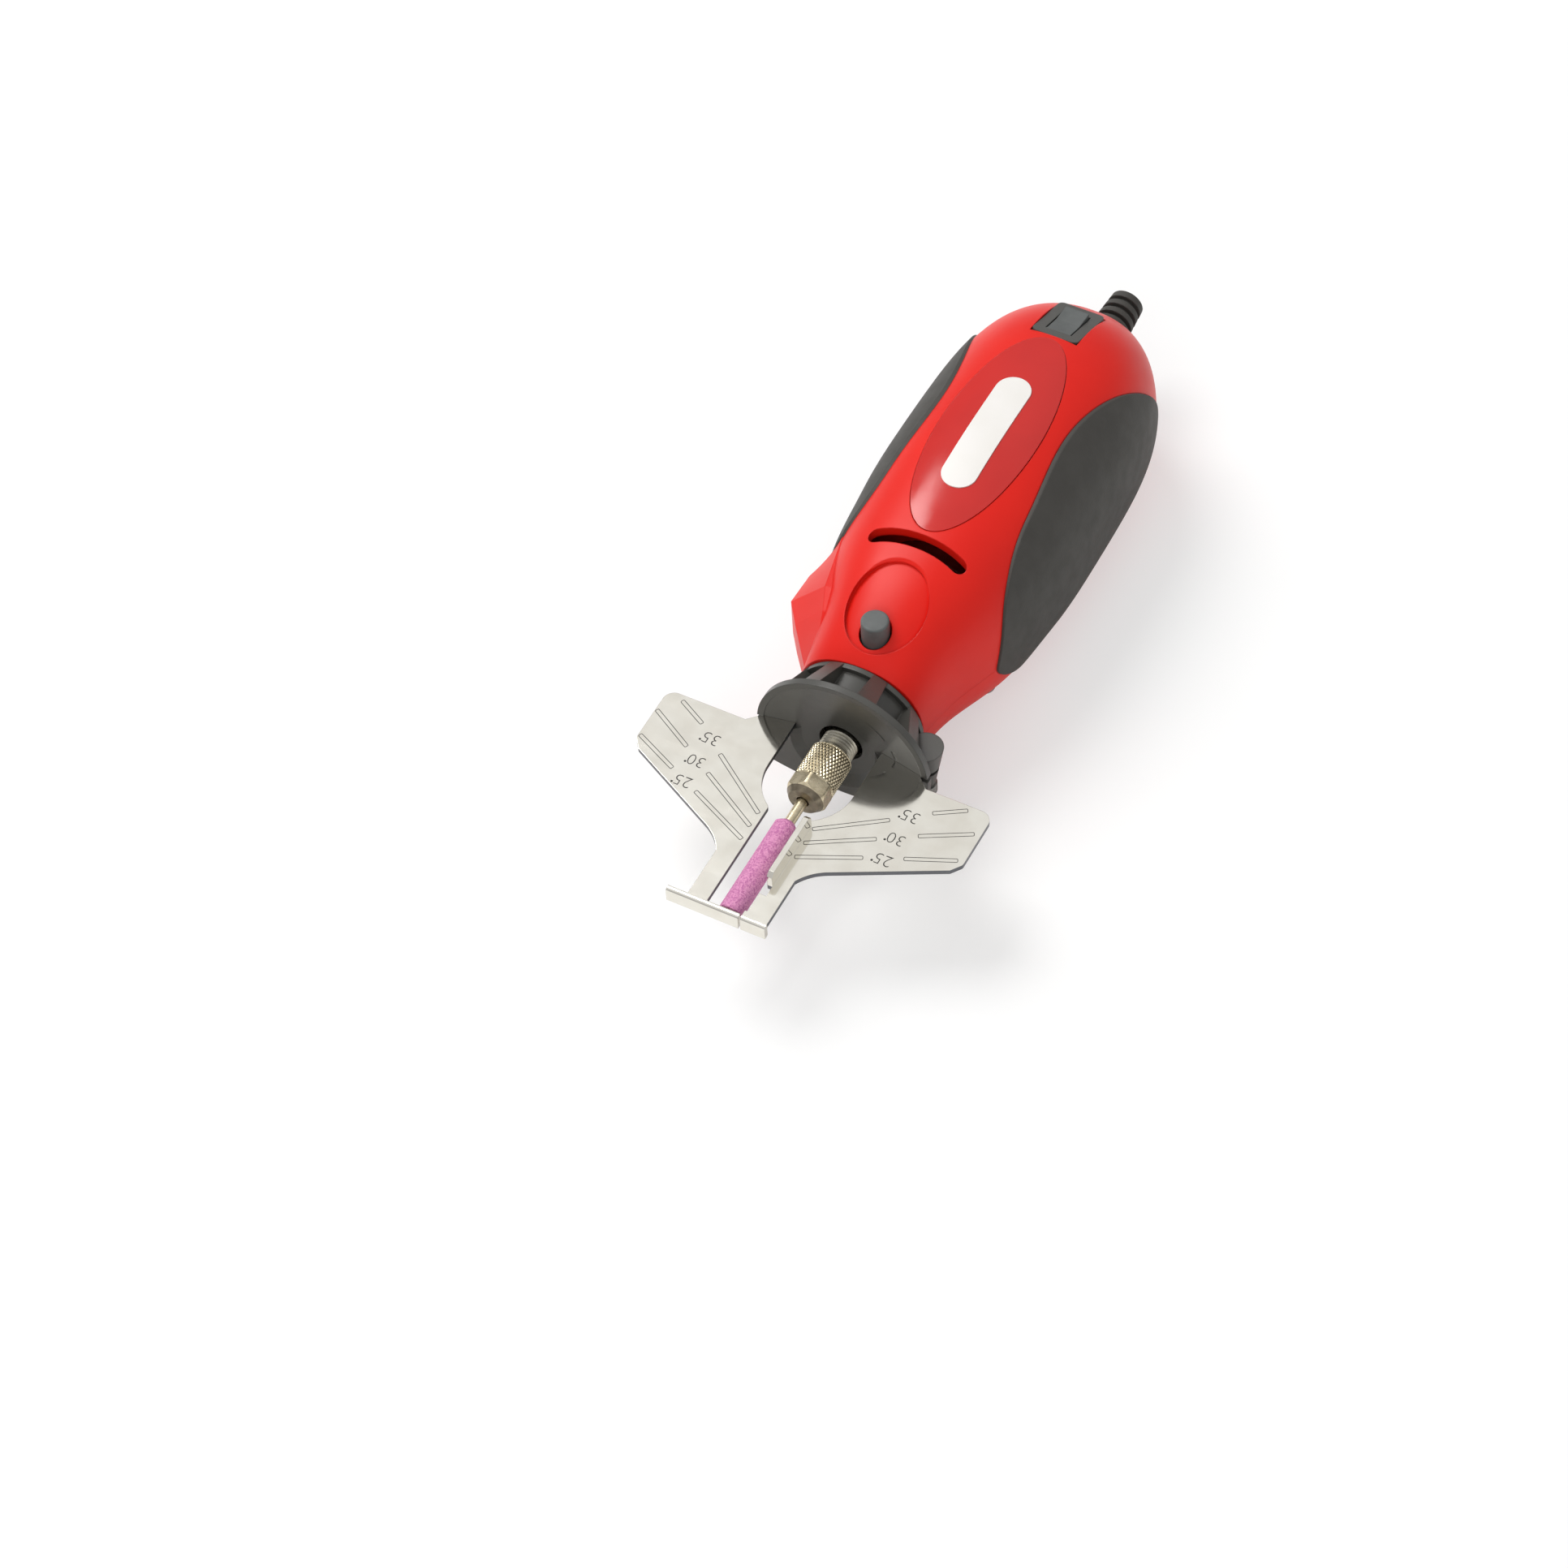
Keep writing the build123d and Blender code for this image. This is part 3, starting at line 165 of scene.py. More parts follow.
# Floor: half its width in metres, and the share of plain white in it as the camera sees it
FLOOR_HALF = 4.0
FLOOR_WHITE = 0.5


def at(station, side=0.0, height=0.0):
    """A point of the drawing, given in millimetres, in the row frame."""
    return ORIGIN + Vector((station, side, height)) * MM


def linear(code):
    """A linear colour from an sRGB hex code."""
    shares = [int(code[k:k + 2], 16) / 255 for k in (1, 3, 5)]
    return tuple(s / 12.92 if s <= 0.04045 else ((s + 0.055) / 1.055) ** 2.4 for s in shares)


def add(tree, kind, inputs=None, **settings):
    """One node with its settings, its fixed values and its links."""
    node = tree.nodes.new(kind)
    for name, value in settings.items():
        setattr(node, name, value)
    for socket, value in (inputs or {}).items():
        if isinstance(value, bpy.types.NodeSocket):
            tree.links.new(value, node.inputs[socket])
        else:
            node.inputs[socket].default_value = value
    return node


# Each finish: lighter and darker colour, roughness range, grain size and depth, the size of
# its broad patches, and the radius at which edges look softened, all lengths in millimetres.
# A stretch under 1 draws the grain out along that axis
FINISHES = {
    # ABS, moulded against a spark-eroded tool: satin sheen, very fine even grain
    "moulded_abs_red": dict(base="#DC1E11", shade="#D51B10", rough=(0.37, 0.43), grain=0.3,
                            depth=0.008, tone=25, edge=0.4, specular=0.25),
    # Polished ABS panel: deeper red, wet gloss, only a faint ripple
    "polished_abs_red": dict(base="#C4170F", shade="#BC140C", rough=(0.1, 0.16), grain=3.0,
                             depth=0.01, tone=20, edge=0.2),
    # Thermoplastic rubber, moulded on to the sides: matt, slightly dusty, soft edges
    "moulded_rubber_black": dict(base="#3A3834", shade="#363430", rough=(0.6, 0.7), grain=0.45,
                                 depth=0.03, tone=9, edge=0.5),
    # Glass-filled nylon, moulded: grey-black, satin, with faint flow marks
    "moulded_nylon_black": dict(base="#454440", shade="#42413D", rough=(0.3, 0.36), grain=0.5,
                                depth=0.012, tone=7, edge=0.3),
    # Acetal, moulded: dark grey and dull, fine grain
    "moulded_acetal_grey": dict(base="#5A5D5C", shade="#505352", rough=(0.5, 0.66), grain=0.3,
                                depth=0.012, tone=5, edge=0.3),
    # Printed vinyl: off-white, smooth, semi-gloss
    "printed_vinyl_white": dict(base="#E6E3DF", shade="#E3E0DB", rough=(0.28, 0.33), grain=1.5,
                                depth=0.004, tone=10, edge=0.1),
    # Sheet steel, bright nickel plated: mirror-like, softened by rolling marks from side to
    # side; the cut edges of the sheet are dull, and painted darker as a reflection of dim
    # surroundings
    "nickel_plated_steel": dict(base="#E3E0D7", shade="#DCD8CE", rough=(0.09, 0.13), grain=0.9,
                                depth=0.0025, tone=6, metallic=1.0, stretch=(1.0, 0.12, 1.0),
                                edge=0.15, edge_shade="#6C6D71"),
    # Turned steel, nickel plated and warm in tone: fine tool marks round the axis
    "turned_plated_steel": dict(base="#DDD0B3", shade="#C2B598", rough=(0.24, 0.36), grain=0.4,
                                depth=0.01, tone=1.5, metallic=1.0, stretch=(3.0, 0.6, 0.6),
                                edge=0.1),
    # Turned steel with painted shade: the nut's front end, painted brown-grey and darker as a
    # reflection of dark surroundings, and duller than the plating
    "turned_steel_painted_shade": dict(base="#8C8270", shade="#746B5C", rough=(0.3, 0.45), grain=0.4,
                              depth=0.01, tone=1.5, metallic=1.0, stretch=(3.0, 0.6, 0.6),
                              edge=0.1),
    # Ground tool steel: grey, fine rings
    "ground_steel": dict(base="#BDB8A9", shade="#99958A", rough=(0.24, 0.4), grain=0.25,
                         depth=0.006, tone=2.5, metallic=1.0, stretch=(4.0, 0.5, 0.5), edge=0.1),
    # Zinc-plated screw steel: dull silver with a patchy passivated skin
    "zinc_plated_steel": dict(base="#9A9996", shade="#7D7C79", rough=(0.38, 0.56), grain=0.5,
                              depth=0.01, tone=1.5, metallic=1.0, edge=0.15),
    # Aluminium oxide grains in a vitrified bond: pink, open and sandy, with paler grains,
    # drawn 0.3 mm across so that they show
    "bonded_abrasive_pink": dict(base="#DD98BE", shade="#BA6C9E", rough=(0.86, 1.0), grain=0.3,
                                 depth=0.08, tone=0.3, pattern="cells", mottle="cells"),
    # Deep-drawn motor can: zinc-plated sheet, brighter, drawn along its length
    "drawn_can_steel": dict(base="#A3A29E", shade="#8C8B87", rough=(0.3, 0.48), grain=0.6,
                            depth=0.008, tone=5, metallic=1.0, stretch=(0.2, 1.0, 1.0), edge=0.2),
    # Sintered ferrite: charcoal grey, dry, pitted
    "sintered_ferrite": dict(base="#3C3C3E", shade="#303032", rough=(0.7, 0.88), grain=0.4,
                             depth=0.03, tone=3, pattern="cells", edge=0.2),
    # Stacked silicon steel sheets: blue-grey, one fine line for each 0.5 mm sheet
    "laminated_steel": dict(base="#8F9296", shade="#5F6266", rough=(0.35, 0.55), grain=0.5,
                            depth=0.05, tone=3, metallic=1.0, pattern="bands", edge=0.1),
    # Enamelled winding wire: copper brown, glossy turns 0.45 mm apart
    "enamelled_copper_wire": dict(base="#B8693A", shade="#8E4A24", rough=(0.2, 0.36), grain=0.45,
                                  depth=0.12, tone=2, metallic=1.0, pattern="bands", edge=0.2),
    # Turned copper segments: bright, with brush tracks round the axis
    "turned_copper": dict(base="#C07A48", shade="#93552F", rough=(0.2, 0.4), grain=0.2,
                          depth=0.01, tone=1, metallic=1.0, stretch=(4.0, 0.5, 0.5), edge=0.1),
    # Pressed carbon: black, powdery
    "pressed_carbon": dict(base="#2D2D2F", shade="#242426", rough=(0.6, 0.8), grain=0.3,
                           depth=0.02, tone=1.5, pattern="cells", edge=0.1),
    # Stamped brass: yellow, lightly tarnished
    "stamped_brass": dict(base="#B99A56", shade="#8F743B", rough=(0.26, 0.44), grain=0.5,
                          depth=0.008, tone=2, metallic=1.0, edge=0.1),
    # Spring wire, drawn: dark grey and smooth
    "drawn_spring_wire": dict(base="#8B8984", shade="#6C6A66", rough=(0.28, 0.42), grain=0.3,
                              depth=0.005, tone=1.5, metallic=1.0),
    # Polypropylene, moulded: off-white and waxy
    "moulded_polypropylene": dict(base="#CFCCC2", shade="#C2BEB2", rough=(0.4, 0.55), grain=0.5,
                                  depth=0.01, tone=6, edge=0.2),
    # Soft PVC lead cover: dark red, semi-gloss, on both leads
    "soft_pvc_lead": dict(base="#8E2A22", shade="#7A211A", rough=(0.35, 0.5), grain=0.6,
                          depth=0.01, tone=4),
    # Near-black, matt line for the marks and numbers; on the marks it is painted shade, where
    # the walls of shallow coined recesses lie in shade
    "dark_line_and_shade": dict(base="#35332F", shade="#26241F", rough=(0.5, 0.7), grain=0.2, depth=0.004,
                        tone=1),
}

# The part of each pattern's range that is used: cells have values from 0 to 1, and noise keeps
# near its middle
CELL_RANGE = (0.1, 0.9)
CLOUD_RANGE = (0.36, 0.64)
WEAR_RANGE = (0.3, 0.7)


def dull_and_shaded_edges(tree, spot):
    """Where the plate's edges get painted shade and a duller gloss: 1 on the upright faces
    within the plate's thickness, behind its front flange, else 0.
    """
    place = add(tree, "ShaderNodeSeparateXYZ", {"Vector": spot})
    facing = add(tree, "ShaderNodeTexCoord").outputs["Normal"]
    lean = add(tree, "ShaderNodeSeparateXYZ", {"Vector": facing}).outputs["Z"]
    upright = add(tree, "ShaderNodeMath", {0: lean, 1: 0.0, 2: 0.5}, operation="COMPARE")
    middle = at(0, 0, PLATE_TOP - PLATE_HALF).z
    in_sheet = add(tree, "ShaderNodeMath", {0: place.outputs["Z"], 1: middle, 2: PLATE_HALF * MM},
                   operation="COMPARE")
    behind = add(tree, "ShaderNodeMath", {0: place.outputs["X"], 1: at(FLANGE_REAR).x},
                 operation="LESS_THAN")
    both = add(tree, "ShaderNodeMath", {0: upright.outputs[0], 1: in_sheet.outputs[0]},
               operation="MULTIPLY")
    return add(tree, "ShaderNodeMath", {0: both.outputs[0], 1: behind.outputs[0]},
               operation="MULTIPLY").outputs[0]


def surface(name, base, shade, rough, grain, depth, tone, metallic=0.0, ior=1.5, specular=0.5,
            pattern="noise", mottle="noise", stretch=(1.0, 1.0, 1.0), edge=0.0, edge_shade=None):
    """A material with patches of two tones, uneven gloss, a raised grain and softened edges."""
    material = bpy.data.materials.new(name)
    material.use_nodes = True
    tree = material.node_tree
    tree.nodes.clear()
    spot = add(tree, "ShaderNodeTexCoord").outputs["Object"]
    laid = add(tree, "ShaderNodeMapping", {"Vector": spot, "Scale": stretch}).outputs["Vector"]

    if mottle == "cells":
        cells = add(tree, "ShaderNodeTexVoronoi", {"Vector": spot, "Scale": 1 / (tone * MM)})
        patches = add(tree, "ShaderNodeSeparateColor",
                      {"Color": cells.outputs["Color"]}).outputs[0]
        low, high = CELL_RANGE
    else:
        clouds = add(tree, "ShaderNodeTexNoise",
                     {"Vector": spot, "Scale": 1 / (tone * MM), "Detail": 3.0})
        patches = clouds.outputs["Fac"]
        low, high = CLOUD_RANGE
    ramp = add(tree, "ShaderNodeValToRGB", {"Fac": patches})
    ramp.color_ramp.elements[0].position = low
    ramp.color_ramp.elements[1].position = high
    ramp.color_ramp.elements[0].color = (*shade, 1.0)
    ramp.color_ramp.elements[1].color = (*base, 1.0)

    fine = 1 / (grain * MM)
    if pattern == "cells":
        raised = add(tree, "ShaderNodeTexVoronoi",
                     {"Vector": laid, "Scale": fine}).outputs["Distance"]
    elif pattern == "bands":
        # a wave's period is a tenth of pi over its scale
        raised = add(tree, "ShaderNodeTexWave", {"Vector": laid, "Scale": math.pi / 10 * fine},
                     bands_direction="X").outputs["Fac"]
    else:
        raised = add(tree, "ShaderNodeTexNoise",
                     {"Vector": laid, "Scale": fine, "Detail": 2.0}).outputs["Fac"]

    # the gloss varies in spots two and a half times smaller than the patches
    worn = add(tree, "ShaderNodeTexNoise",
               {"Vector": laid, "Scale": 2.5 / (tone * MM), "Detail": 4.0})
    gloss = add(tree, "ShaderNodeMapRange", {
        "Value": worn.outputs["Fac"], "From Min": WEAR_RANGE[0], "From Max": WEAR_RANGE[1],
        "To Min": rough[0], "To Max": rough[1]})
    tone_out, gloss_out = ramp.outputs["Color"], gloss.outputs["Result"]
    # painted shade on the plate's upright edges, standing in for the dim surroundings they
    # mirror, with a duller gloss
    if edge_shade:
        mask = dull_and_shaded_edges(tree, spot)
        tone_out = add(tree, "ShaderNodeMix", {0: mask, 6: tone_out, 7: (*linear(edge_shade), 1.0)},
                       data_type="RGBA").outputs[2]
        gloss_out = add(tree, "ShaderNodeMix",
                        {0: mask, 2: gloss_out, 3: CUT_EDGE_ROUGH}).outputs[0]
    bump_inputs = {"Height": raised, "Strength": 1.0, "Distance": depth * MM}
    if edge:
        rounded = add(tree, "ShaderNodeBevel", {"Radius": edge * MM}, samples=4)
        bump_inputs["Normal"] = rounded.outputs["Normal"]
    bump = add(tree, "ShaderNodeBump", bump_inputs)
    shader_inputs = {
        "Base Color": tone_out, "Roughness": gloss_out,
        "Normal": bump.outputs["Normal"], "Metallic": metallic, "Specular IOR Level": specular}
    if not metallic:
        shader_inputs["IOR"] = ior
    shader = add(tree, "ShaderNodeBsdfPrincipled", shader_inputs)
    add(tree, "ShaderNodeOutputMaterial", {"Surface": shader.outputs["BSDF"]})
    return material


def finish_of(name):
    """The finish of that name, made once, in the colours of the panel."""
    found = bpy.data.materials.get(name)
    if found:
        return found
    values = dict(FINISHES[name])
    colours = bpy.context.scene.sharpener_colours
    chosen = {"moulded_abs_red": colours.housing, "moulded_rubber_black": colours.grips,
              "moulded_nylon_black": colours.collar, "bonded_abrasive_pink": colours.stone}
    light, dark = linear(values["base"]), linear(values["shade"])
    if name in chosen:
        # the darker tone keeps its share of the lighter one
        dark = tuple(c * d / max(b, 1e-4) for c, d, b in zip(chosen[name], dark, light))
        light = tuple(chosen[name])
    values["base"], values["shade"] = light, dark
    return surface(name, **values)


def paint(node, finish):
    """Give a carried-over CAD node its finish."""
    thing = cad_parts[node]
    material = finish_of(finish)
    if not thing.material_slots:
        thing.data.materials.append(material)
    for place in thing.material_slots:
        place.material = material


def piece(mesh_maker, name, finish, body, nodes=(), sharp=35.0):
    """An object from a bmesh, smooth but for its sharp edges, riding on a body."""
    mesh = bpy.data.meshes.new(name)
    mesh_maker.to_mesh(mesh)
    mesh_maker.free()
    mesh.shade_smooth()
    mesh.set_sharp_from_angle(angle=math.radians(sharp))
    mesh.materials.append(finish_of(finish))
    thing = bpy.data.objects.new(name, mesh)
    bpy.context.collection.objects.link(thing)
    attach(thing, body)
    if nodes:
        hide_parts(*nodes)
    return thing


def spun(profile, cuts, steps):
    """Turn a closed outline of (station, radius) points round the spindle's line."""
    bm = bmesh.new()
    points = []
    for start, end, count in zip(profile, profile[1:] + profile[:1], cuts):
        for k in range(count + 1):
            points.append(Vector(start).lerp(Vector(end), k / (count + 1)))
    verts = [bm.verts.new(at(*point)) for point in points]
    for pair in zip(verts, verts[1:] + verts[:1]):
        bm.edges.new(pair)
    bmesh.ops.spin(bm, geom=bm.verts[:] + bm.edges[:], cent=ORIGIN, axis=(1, 0, 0),
                   angle=math.tau, steps=steps, use_merge=True)
    bmesh.ops.remove_doubles(bm, verts=bm.verts[:], dist=MERGE_WITHIN)
    bmesh.ops.recalc_face_normals(bm, faces=bm.faces[:])
    return bm


def push_out(bm, change):
    """Move each vertex out from the spindle's line by what change gives for its place."""
    for vert in bm.verts:
        spot = (vert.co - ORIGIN) / MM
        radius = math.hypot(spot.y, spot.z)
        if radius < ROUNDING:
            continue
        turn = math.atan2(spot.z, spot.y)
        share = (radius + change(spot.x, turn, radius)) / radius
        vert.co.y = ORIGIN.y + spot.y * share * MM
        vert.co.z = ORIGIN.z + spot.z * share * MM


class SharpenerSizes(bpy.types.PropertyGroup):
    """Sizes that a user may change."""
    knurl_depth: FloatProperty(name="Knurl depth", description="Depth of the diamond knurl",
                               default=0.3 * MM, min=0.0, precision=5, unit="LENGTH")
    grit_depth: FloatProperty(name="Grit depth",
                              description="How far the stone's surface is pitted",
                              default=0.1 * MM, min=0.0, precision=5, unit="LENGTH")
    line_width: FloatProperty(name="Mark line", description="Width of an engraved line",
                              default=0.15 * MM, min=0.0, precision=5, unit="LENGTH")
    ribs: IntProperty(name="Knurl ribs", description="Ribs of the knurl round the nut",
                      default=KNURL_RIBS, min=8, max=60)


class SharpenerColours(bpy.types.PropertyGroup):
    """Colours that a user may change."""
    housing: FloatVectorProperty(name="Housing", description="Lighter tone of the housing",
                                 subtype="COLOR", min=0.0, max=1.0,
                                 default=linear(FINISHES["moulded_abs_red"]["base"]))
    grips: FloatVectorProperty(name="Grips", description="Lighter tone of the side grips",
                               subtype="COLOR", min=0.0, max=1.0,
                               default=linear(FINISHES["moulded_rubber_black"]["base"]))
    collar: FloatVectorProperty(name="Collar", description="Lighter tone of the guide collar",
                                subtype="COLOR", min=0.0, max=1.0,
                                default=linear(FINISHES["moulded_nylon_black"]["base"]))
    stone: FloatVectorProperty(name="Stone", description="Lighter tone of the stone's grains",
                               subtype="COLOR", min=0.0, max=1.0,
                               default=linear(FINISHES["bonded_abrasive_pink"]["base"]))


class SHARPENER_OT_stage(bpy.types.Operator):
    """Make the floor, the lamps, the world and the camera"""
    bl_idname = "sharpener.stage"
    bl_label = "Stage"

    def execute(self, context):
        scene = context.scene
        scene.view_settings.view_transform = "Standard"
        self.floor()
        self.lamps(context)
        self.world(scene)
        camera = bpy.data.objects.new("camera", bpy.data.cameras.new("camera"))
        camera.data.lens = CAMERA_LENS
        camera.data.clip_end = CAMERA_FAR
        columns = (Vector(CAMERA_RIGHT), -Vector(CAMERA_DOWN), -Vector(CAMERA_AHEAD))
        turn = Matrix(columns).transposed().to_quaternion()
        camera.matrix_world = Matrix.Translation(at(*CAMERA_PLACE)) @ turn.to_matrix().to_4x4()
        context.collection.objects.link(camera)
        scene.camera = camera
        return {"FINISHED"}

    def floor(self):
        bm = bmesh.new()
        bmesh.ops.create_grid(bm, x_segments=8, y_segments=8, size=FLOOR_HALF)
        mesh = bpy.data.meshes.new("floor")
        bm.to_mesh(mesh)
        bm.free()
        # Matt painted board: white, with a barely uneven coat
        board = surface("painted_board", linear("#FBFBFA"), linear("#F8F8F7"), (0.85, 0.95),
                        2.0, 0.02, 60)
        self.whiten(board.node_tree)
        mesh.materials.append(board)
        ground = bpy.data.objects.new("floor", mesh)
        bpy.context.collection.objects.link(ground)

    def whiten(self, tree):
        """Mix plain white into the floor where the camera sees it, so that its shadow is pale."""
        out = next(n for n in tree.nodes if n.bl_idname == "ShaderNodeOutputMaterial")
        lit = out.inputs["Surface"].links[0].from_socket
        seen = add(tree, "ShaderNodeLightPath").outputs["Is Camera Ray"]
        share = add(tree, "ShaderNodeMath", {0: seen, 1: FLOOR_WHITE}, operation="MULTIPLY")
        plain = add(tree, "ShaderNodeEmission", {"Color": WHITE, "Strength": 1.0})
        both = add(tree, "ShaderNodeMixShader",
                   {0: share.outputs[0], 1: lit, 2: plain.outputs["Emission"]})
        tree.links.new(both.outputs["Shader"], out.inputs["Surface"])

    def lamps(self, context):
        for name, place, size, power, mirrored in LAMPS:
            lamp = bpy.data.lights.new(name, "AREA")
            lamp.shape = "DISK"
            lamp.size = size
            lamp.energy = power
            thing = bpy.data.objects.new(name, lamp)
            spot = at(*place)
            toward = (at(*LAMP_TARGET) - spot).to_track_quat("-Z", "Y")
            thing.matrix_world = Matrix.Translation(spot) @ toward.to_matrix().to_4x4()
            thing.visible_glossy = mirrored
            context.collection.objects.link(thing)

    def world(self, scene):
        # white where it is seen directly, softer as light, and in a reflection bright above
        # and dim towards the horizon, as in a room with softboxes
        world = bpy.data.worlds.new("studio")
        world.use_nodes = True
        tree = world.node_tree
        tree.nodes.clear()
        path = add(tree, "ShaderNodeLightPath")
        way = add(tree, "ShaderNodeTexCoord").outputs["Generated"]
        height = add(tree, "ShaderNodeSeparateXYZ", {"Vector": way}).outputs["Z"]
        room = add(tree, "ShaderNodeValToRGB", {"Fac": height})
        room.color_ramp.elements[0].position = ROOM_LOW
        room.color_ramp.elements[0].color = ROOM_DIM
        room.color_ramp.elements[1].position = ROOM_HIGH
        room.color_ramp.elements[1].color = ROOM_BRIGHT
        seen = add(tree, "ShaderNodeMath",
                   {0: path.outputs["Is Glossy Ray"], 1: path.outputs["Is Transmission Ray"]},
                   operation="MAXIMUM")
        mirrored = add(tree, "ShaderNodeMix",
                       {0: seen.outputs[0], 6: (SKY, SKY, SKY, 1.0), 7: room.outputs["Color"]},
                       data_type="RGBA")
        shown = add(tree, "ShaderNodeMix",
                    {0: path.outputs["Is Camera Ray"], 6: mirrored.outputs[2], 7: WHITE},
                    data_type="RGBA")
        light = add(tree, "ShaderNodeBackground", {"Color": shown.outputs[2], "Strength": 1.0})
        add(tree, "ShaderNodeOutputWorld", {"Surface": light.outputs["Background"]})
        scene.world = world


class SHARPENER_OT_housing(bpy.types.Operator):
    """Finish the half shells and what they carry outside, from the grips to the cord gland"""
    bl_idname = "sharpener.housing"
    bl_label = "Housing"

    def execute(self, context):
        for node, finish in (
                ("upper_shell", "moulded_abs_red"), ("lower_shell", "moulded_abs_red"),
                ("left_grip", "moulded_rubber_black"), ("right_grip", "moulded_rubber_black"),
                ("gloss_inlay", "polished_abs_red"), ("blank_pill", "printed_vinyl_white"),
                ("housing_screws", "zinc_plated_steel"), ("lock_button", "moulded_acetal_grey"),
                ("power_rocker", "moulded_acetal_grey"), ("switch_frame", "moulded_nylon_black"),
                ("cord_gland", "moulded_rubber_black")):
            paint(node, finish)
        return {"FINISHED"}


class SHARPENER_OT_works(bpy.types.Operator):
    """Finish what turns, the motor, the lock and the wiring, and make the button's spring"""
    bl_idname = "sharpener.works"
    bl_label = "Works"

    def execute(self, context):
        for node, finish in (
                ("nose_sleeve", "moulded_nylon_black"), ("front_bearing", "ground_steel"),
                ("rear_bearing", "ground_steel"), ("spindle", "ground_steel"),
                ("collet", "ground_steel"), ("stone_shank", "turned_plated_steel"),
                ("motor_can", "drawn_can_steel"), ("motor_magnets", "sintered_ferrite"),
                ("motor_endcap", "moulded_polypropylene"), ("motor_terminals", "stamped_brass"),
                ("motor_bush", "stamped_brass"), ("carbon_brushes", "pressed_carbon"),
                ("motor_shaft", "ground_steel"), ("armature_core", "laminated_steel"),
                ("armature_windings", "enamelled_copper_wire"), ("commutator", "turned_copper"),
                ("cooling_fan", "moulded_polypropylene"),
                ("shaft_coupler", "moulded_polypropylene"),
                ("lock_pin", "ground_steel"), ("switch_blades", "stamped_brass"),
                ("motor_leads", "soft_pvc_lead"), ("noise_capacitor", "stamped_brass")):
            paint(node, finish)
        self.spring()
        return {"FINISHED"}

    def spring(self):
        """The button's coil spring, between its seat and the button."""
        low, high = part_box("button_spring")
        middle = (low + high) / 2
        wire = SPRING_WIRE * MM / 2
        start = Vector((high.x - wire, middle.y, low.z + wire))
        rise = (high.z - low.z - 2 * wire) / SPRING_STEPS
        bm = bmesh.new()
        lay = Matrix.Translation(start) @ Matrix.Rotation(math.pi / 2, 4, "X")
        bmesh.ops.create_circle(bm, segments=SPRING_SIDES, radius=wire, matrix=lay)
        bmesh.ops.spin(bm, geom=bm.verts[:] + bm.edges[:], cent=middle, axis=(0, 0, 1),
                       dvec=(0, 0, rise), angle=math.tau * SPRING_TURNS, steps=SPRING_STEPS)
        bmesh.ops.holes_fill(bm, edges=[e for e in bm.edges if e.is_boundary], sides=0)
        bmesh.ops.recalc_face_normals(bm, faces=bm.faces[:])
        coil = piece(bm, "coiled_button_spring", "drawn_spring_wire", "lock",
                     ("button_spring",))
        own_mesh(coil)


class SHARPENER_OT_collar(bpy.types.Operator):
    """Finish the guide collar, its clamp screw and the plate's rivets"""
    bl_idname = "sharpener.collar"
    bl_label = "Guide collar"

    def execute(self, context):
        paint("guide_collar", "moulded_nylon_black")
        paint("clamp_screw", "zinc_plated_steel")
        paint("plate_rivets", "zinc_plated_steel")
        return {"FINISHED"}


